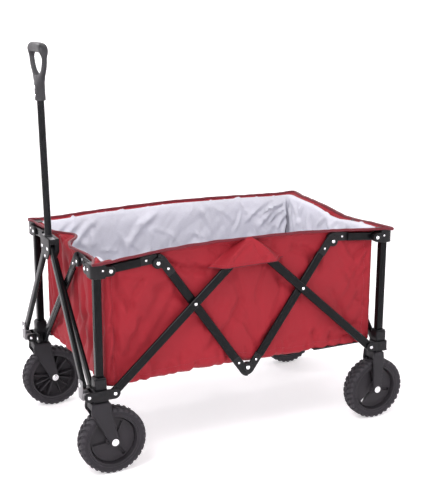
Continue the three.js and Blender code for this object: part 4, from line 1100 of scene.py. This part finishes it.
def build_wall(wall, settings):
    long_side = wall in ("left", "right")
    nu, nv = (200, 64) if long_side else (116, 64)
    s, t = np.meshgrid(np.linspace(-1, 1, nu), np.linspace(0, 1, nv), indexing="ij")
    base = wall_surface(wall, s, t)
    outward = outward_of(base, 1 if long_side else 0, settings["sign"])
    settled = settled_cloth(base, 0.015)
    moved = ((settled - base) * outward).sum(2)
    low_hold, end_hold = smoothstep(0.02, 0.14, t), smoothstep(1, 0.96, np.abs(s))
    hold = low_hold * smoothstep(1.0, 0.90, t) * end_hold
    u, z = base[..., 0 if long_side else 1], base[..., 2]
    seed, body, span = settings["seed"], settings["body"], 0.40 if long_side else 0.23
    outer_count, inner_count = (34, 60) if long_side else (16, 34)
    lines = OUTER_FOLDS[wall] + scattered(seed, outer_count, span, 0.26, 0.53, 0.13, 0.013, 0.0046, 1.0)
    lines += puckers(seed + 1, span, 0.045, 0.222, 0.050, 0.0080, 0.0058)
    lines += puckers(seed + 2, span, 0.055, 0.600, -0.050, 0.0060, 0.0030)
    sag = 0.0030 * np.sin(np.pi * np.clip(t / 0.9, 0, 1)) * (1 - s ** 2)
    shaped = folds(u, z, lines) * 1.35 + ripples(u, z, seed, 11) * 0.0022 - sag
    shift = np.clip(moved * 0.7 + shaped, -0.011, 0.0016) * hold
    rim_wave = ripples(u, z * 0, seed + 0.5, 30) * 0.0010 * smoothstep(0.9, 1.0, t)
    outer = base + outward * (shift + 0.0010 + rim_wave)[..., None]

    lines = scattered(seed + 5, inner_count, span, 0.25, 0.56, 0.085, 0.0055, 0.0052, 0.9)
    lines = LINING_FOLDS[wall] + lines
    loose = folds(u, z, lines) + ripples(u, z, seed + 7, 16) * 0.0030 + ripples(u, z, seed + 8, 40) * 0.0010
    slack = low_hold * smoothstep(0.885, 0.81, t) * end_hold
    depth = np.minimum(shift, 0) - 0.0016 - np.clip(0.0050 - loose, 0, 0.014) * slack
    lining = base + outward * depth[..., None]
    lining[..., 2] = np.where(t < 0.13, np.maximum(lining[..., 2], 0.2336), lining[..., 2])

    red, silver = (RED, LINING) if long_side else (RED_END, LINING_END)
    shell = Piece()
    add_sheet(shell, red, outer, outer - outward * 0.0009)
    shell = shell.build(f"tub_{wall}_cloth", body, "red_fabric", f"tub_wall_{wall}", crease=60)
    rows = int(np.searchsorted(t[0], LINING_TOP))
    inside = Piece()
    add_sheet(inside, silver, lining[:, :rows], (lining + outward * 0.0005)[:, :rows])
    inside = inside.build(f"tub_{wall}_lining", body, "silver_lining", crease=60)

    trim = Piece()
    edge = outer[:, -1] - outward[:, -1] * 0.0005
    trim.add(PIPING, cord_along(edge, 0.0038 if settings["sign"] > 0 else 0.0050, 12))
    seams = [np.s_[:, -5], np.s_[:, -7], np.s_[:, 11]]
    seams += [np.s_[int(nu * share), 10:-7] for share in (0.03, 0.97)] * long_side
    for seam in seams:
        trim.add(THREAD, *stitches(outer[seam], outward[seam] * 0.0002))
    if wall == "right":
        tape, tie = np.s_[2, 9:48], np.s_[int(nu * 0.022), 20:44]
        for seam, off, radius in ((tape, 0.0012, 0.0013), (tie, 0.0016, 0.0010)):
            trim.add(SEAM_TAPE, cord_along(lining[seam] - outward[seam] * off, radius, 8))
    piping = trim.build(f"tub_{wall}_rim", body, "piping", crease=60)
    for obj in (shell, inside, piping):
        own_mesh(obj)


for wall, settings in WALLS.items():
    build_wall(wall, settings)

PANEL = 0.196  # the floor is stiffened in four panels
BOARD_LOW, BOARD_TOP = 0.2290, 0.2318


def build_floor(side, side_sign):
    place = (ORIGIN, X, Y * side_sign, Z)
    board = Piece(place)
    for k in range(-2, 2):
        outline = rectangle(k * PANEL + 0.0008, (k + 1) * PANEL - 0.0008, 0.0015, 0.2120, 0.005)
        board.add(BOARD, prism(outline, BOARD_LOW, BOARD_TOP))
    board.add(BOARD, prism(rectangle(-0.3915, 0.3915, 0.0020, 0.2115, 0.005), 0.2289, 0.2296, 0.0003, 1))
    board.add(BOARD, prism(rectangle(-0.4000, -0.2200, 0.2050, 0.2345, 0.004), 0.2276, 0.2322, 0.0012))
    board = board.build(f"floor_board_{side}", f"floor_{side}", "floor_board", f"tub_floor_{side}")

    u, v = np.meshgrid(np.linspace(-0.3890, 0.3890, 110), np.linspace(0.0022, 0.2090, 30), indexing="ij")
    pillow = np.minimum(1, np.abs(np.sin(u / PANEL * math.pi)) * 3)
    top = np.stack([u, v, 0.2325 + 0.0007 * pillow + 0.0003 * ripples(u, v * side_sign, 4, 24)], -1)
    cover = Piece(place)
    add_sheet(cover, LINING_FLOOR, top, top - 0.0005 * Z)
    for k in (-1, 0, 1):
        line = np.c_[np.full(40, k * PANEL), np.linspace(0.004, 0.207, 40), np.full(40, 0.2327)]
        cover.add(SEAM_TAPE, *stitches(line, 0, 0.003, 0.002))
    lining = cover.build(f"floor_lining_{side}", f"floor_{side}", "silver_lining")
    for obj in (board, lining):
        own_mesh(obj)


def build_flap(side, side_sign):
    """The gusset over the centre hinge: a three-cornered tent whose lower edge hangs free."""
    body = f"front_{side}_corner"
    apex_z = 0.5865 if side_sign > 0 else 0.5790
    q, p = np.meshgrid(np.linspace(-1, 1, 81), np.linspace(0, 1, 33), indexing="ij")
    x = 0.004 + 0.001 * p + q * (0.1060 * (1 - p) ** 0.90 + 0.006)
    foot = 0.5145 - 0.002 * q
    z = foot + (apex_z - foot) * p
    wall = 0.2400 + 0.0150 * smoothstep(0.80, 1.0, p)
    plateau = 0.2722 - 0.0150 * smoothstep(0.86, 1.0, p)
    rise = smoothstep(1.0, 0.64 + 0.22 * p, np.abs(q))
    creases = [(0.0, 0.575, 0.060, 0.520, 0.007, 0.003), (0.0, 0.575, -0.045, 0.520, 0.006, 0.003),
               (-0.02, 0.52, -0.06, 0.545, 0.005, 0.002)]
    crumpled = ripples(x, z, 5.0 * side_sign, 20) * 0.0012 + folds(x, z, creases)
    grid = np.stack([x, (wall + (plateau - wall + crumpled) * rise) * side_sign, z], -1)
    outward = outward_of(grid, 1, side_sign)
    piece = Piece()
    add_sheet(piece, RED, grid, grid - outward * 0.0009)
    flap = piece.build(f"centre_flap_{side}", body, "red_fabric", crease=60)
    trim = Piece()
    trim.add(PIPING, cord_along(grid[:, 0], 0.0011, 8))
    trim.add(THREAD, *stitches(grid[:, 3], outward[:, 3] * 0.0003))
    hem = trim.build(f"centre_flap_hem_{side}", body, "piping")
    for obj in (flap, hem):
        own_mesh(obj)


for side, side_sign in SIDES:
    build_floor(side, side_sign)
    build_flap(side, side_sign)

# ---------------------------------------------------------------- stage, light and camera

CAMERA_AZIMUTH, CAMERA_ELEVATION, CAMERA_ROLL = (math.radians(a) for a in (153.61, 14.72, 0.25))
CAMERA_TARGET, CAMERA_DISTANCE, CAMERA_LENS = (-0.02296, 0, 0.4968), 2.9995, 76.53
LAMPS = (  # name, place, size, power
    ("key", (1.55, 1.25, 2.55), (1.1, 1.1), 46),
    ("fill", (-2.4, 2.2, 1.6), (1.2, 1.2), 4.5),
    ("overhead", (-0.3, -0.3, 2.9), (1.9, 0.6), 15),
    ("back", (0.9, -1.9, 2.5), (0.35, 0.35), 15),
)


def build_sweep():
    """A white sweep: floor, a wide curve and a wall on every side, glowing a little like lit paper."""
    sides, flat, curve = 64, 5.0, 2.5
    bend = arc(curve, 0.15 - math.pi / 2, 0, 12, (flat, curve))
    profile = [(0.0001, 0.0), (3.0, 0.0), (flat, 0.0), *bend, (flat + curve, 7.0)]
    points = np.vstack([np.c_[circle(r, sides), np.full(sides, h)] for r, h in profile])
    corners = [(k, (i + 1) % sides, i) for k in range(len(profile) - 1) for i in range(sides)]
    faces = [(k * sides + i, k * sides + j, (k + 1) * sides + j, (k + 1) * sides + i) for k, j, i in corners]
    mesh = bpy.data.meshes.new("studio_sweep")
    mesh.from_pydata(points.tolist(), [], faces)
    mesh.shade_smooth()
    sweep = bpy.data.objects.new("studio_sweep", mesh)
    bpy.context.scene.collection.objects.link(sweep)
    material, tree, shader = new_material("studio_paper", (0.88, 0.855, 0.875), 0.8, specular=0.1)
    where = [("Vector", node(tree, "ShaderNodeTexCoord").outputs["Object"])]
    height = node(tree, "ShaderNodeSeparateXYZ", where).outputs["Z"]
    shader.inputs["Emission Color"].default_value = (1, 1, 1, 1)
    tree.links.new(spread(tree, height, 0.36, 0.74, 0.0, 1.0), shader.inputs["Emission Strength"])
    mesh.materials.append(material)


def build_lights():
    world = bpy.data.worlds.new("studio")
    bpy.context.scene.world = world
    world.use_nodes = True
    background = world.node_tree.nodes["Background"]
    background.inputs["Color"].default_value = (1, 1, 1, 1)
    background.inputs["Strength"].default_value = 0.25
    for name, at, size, power in LAMPS:
        light = bpy.data.lights.new(name, "AREA")
        light.shape = "RECTANGLE"
        light.size, light.size_y = size
        light.energy = power
        lamp = bpy.data.objects.new(name, light)
        lamp.location = at
        lamp.rotation_euler = (Vector((0, 0, 0.4)) - Vector(at)).to_track_quat("-Z", "Y").to_euler()
        bpy.context.scene.collection.objects.link(lamp)


def build_camera():
    level, rise = math.cos(CAMERA_ELEVATION), math.sin(CAMERA_ELEVATION)
    back = Vector((math.sin(CAMERA_AZIMUTH) * level, -math.cos(CAMERA_AZIMUTH) * level, rise))
    right = Vector(Z).cross(back).normalized()
    up = back.cross(right)
    across = right * math.cos(CAMERA_ROLL) + up * math.sin(CAMERA_ROLL)
    above = up * math.cos(CAMERA_ROLL) - right * math.sin(CAMERA_ROLL)
    camera = bpy.data.cameras.new("camera")
    camera.lens = CAMERA_LENS
    camera.sensor_width = 36
    obj = bpy.data.objects.new("camera", camera)
    place = Matrix.Translation(Vector(CAMERA_TARGET) + back * CAMERA_DISTANCE)
    obj.matrix_world = place @ Matrix((across, above, back)).transposed().to_4x4()
    bpy.context.scene.collection.objects.link(obj)
    bpy.context.scene.camera = obj


build_sweep()
build_lights()
build_camera()
bpy.context.scene.view_settings.view_transform = "Standard"
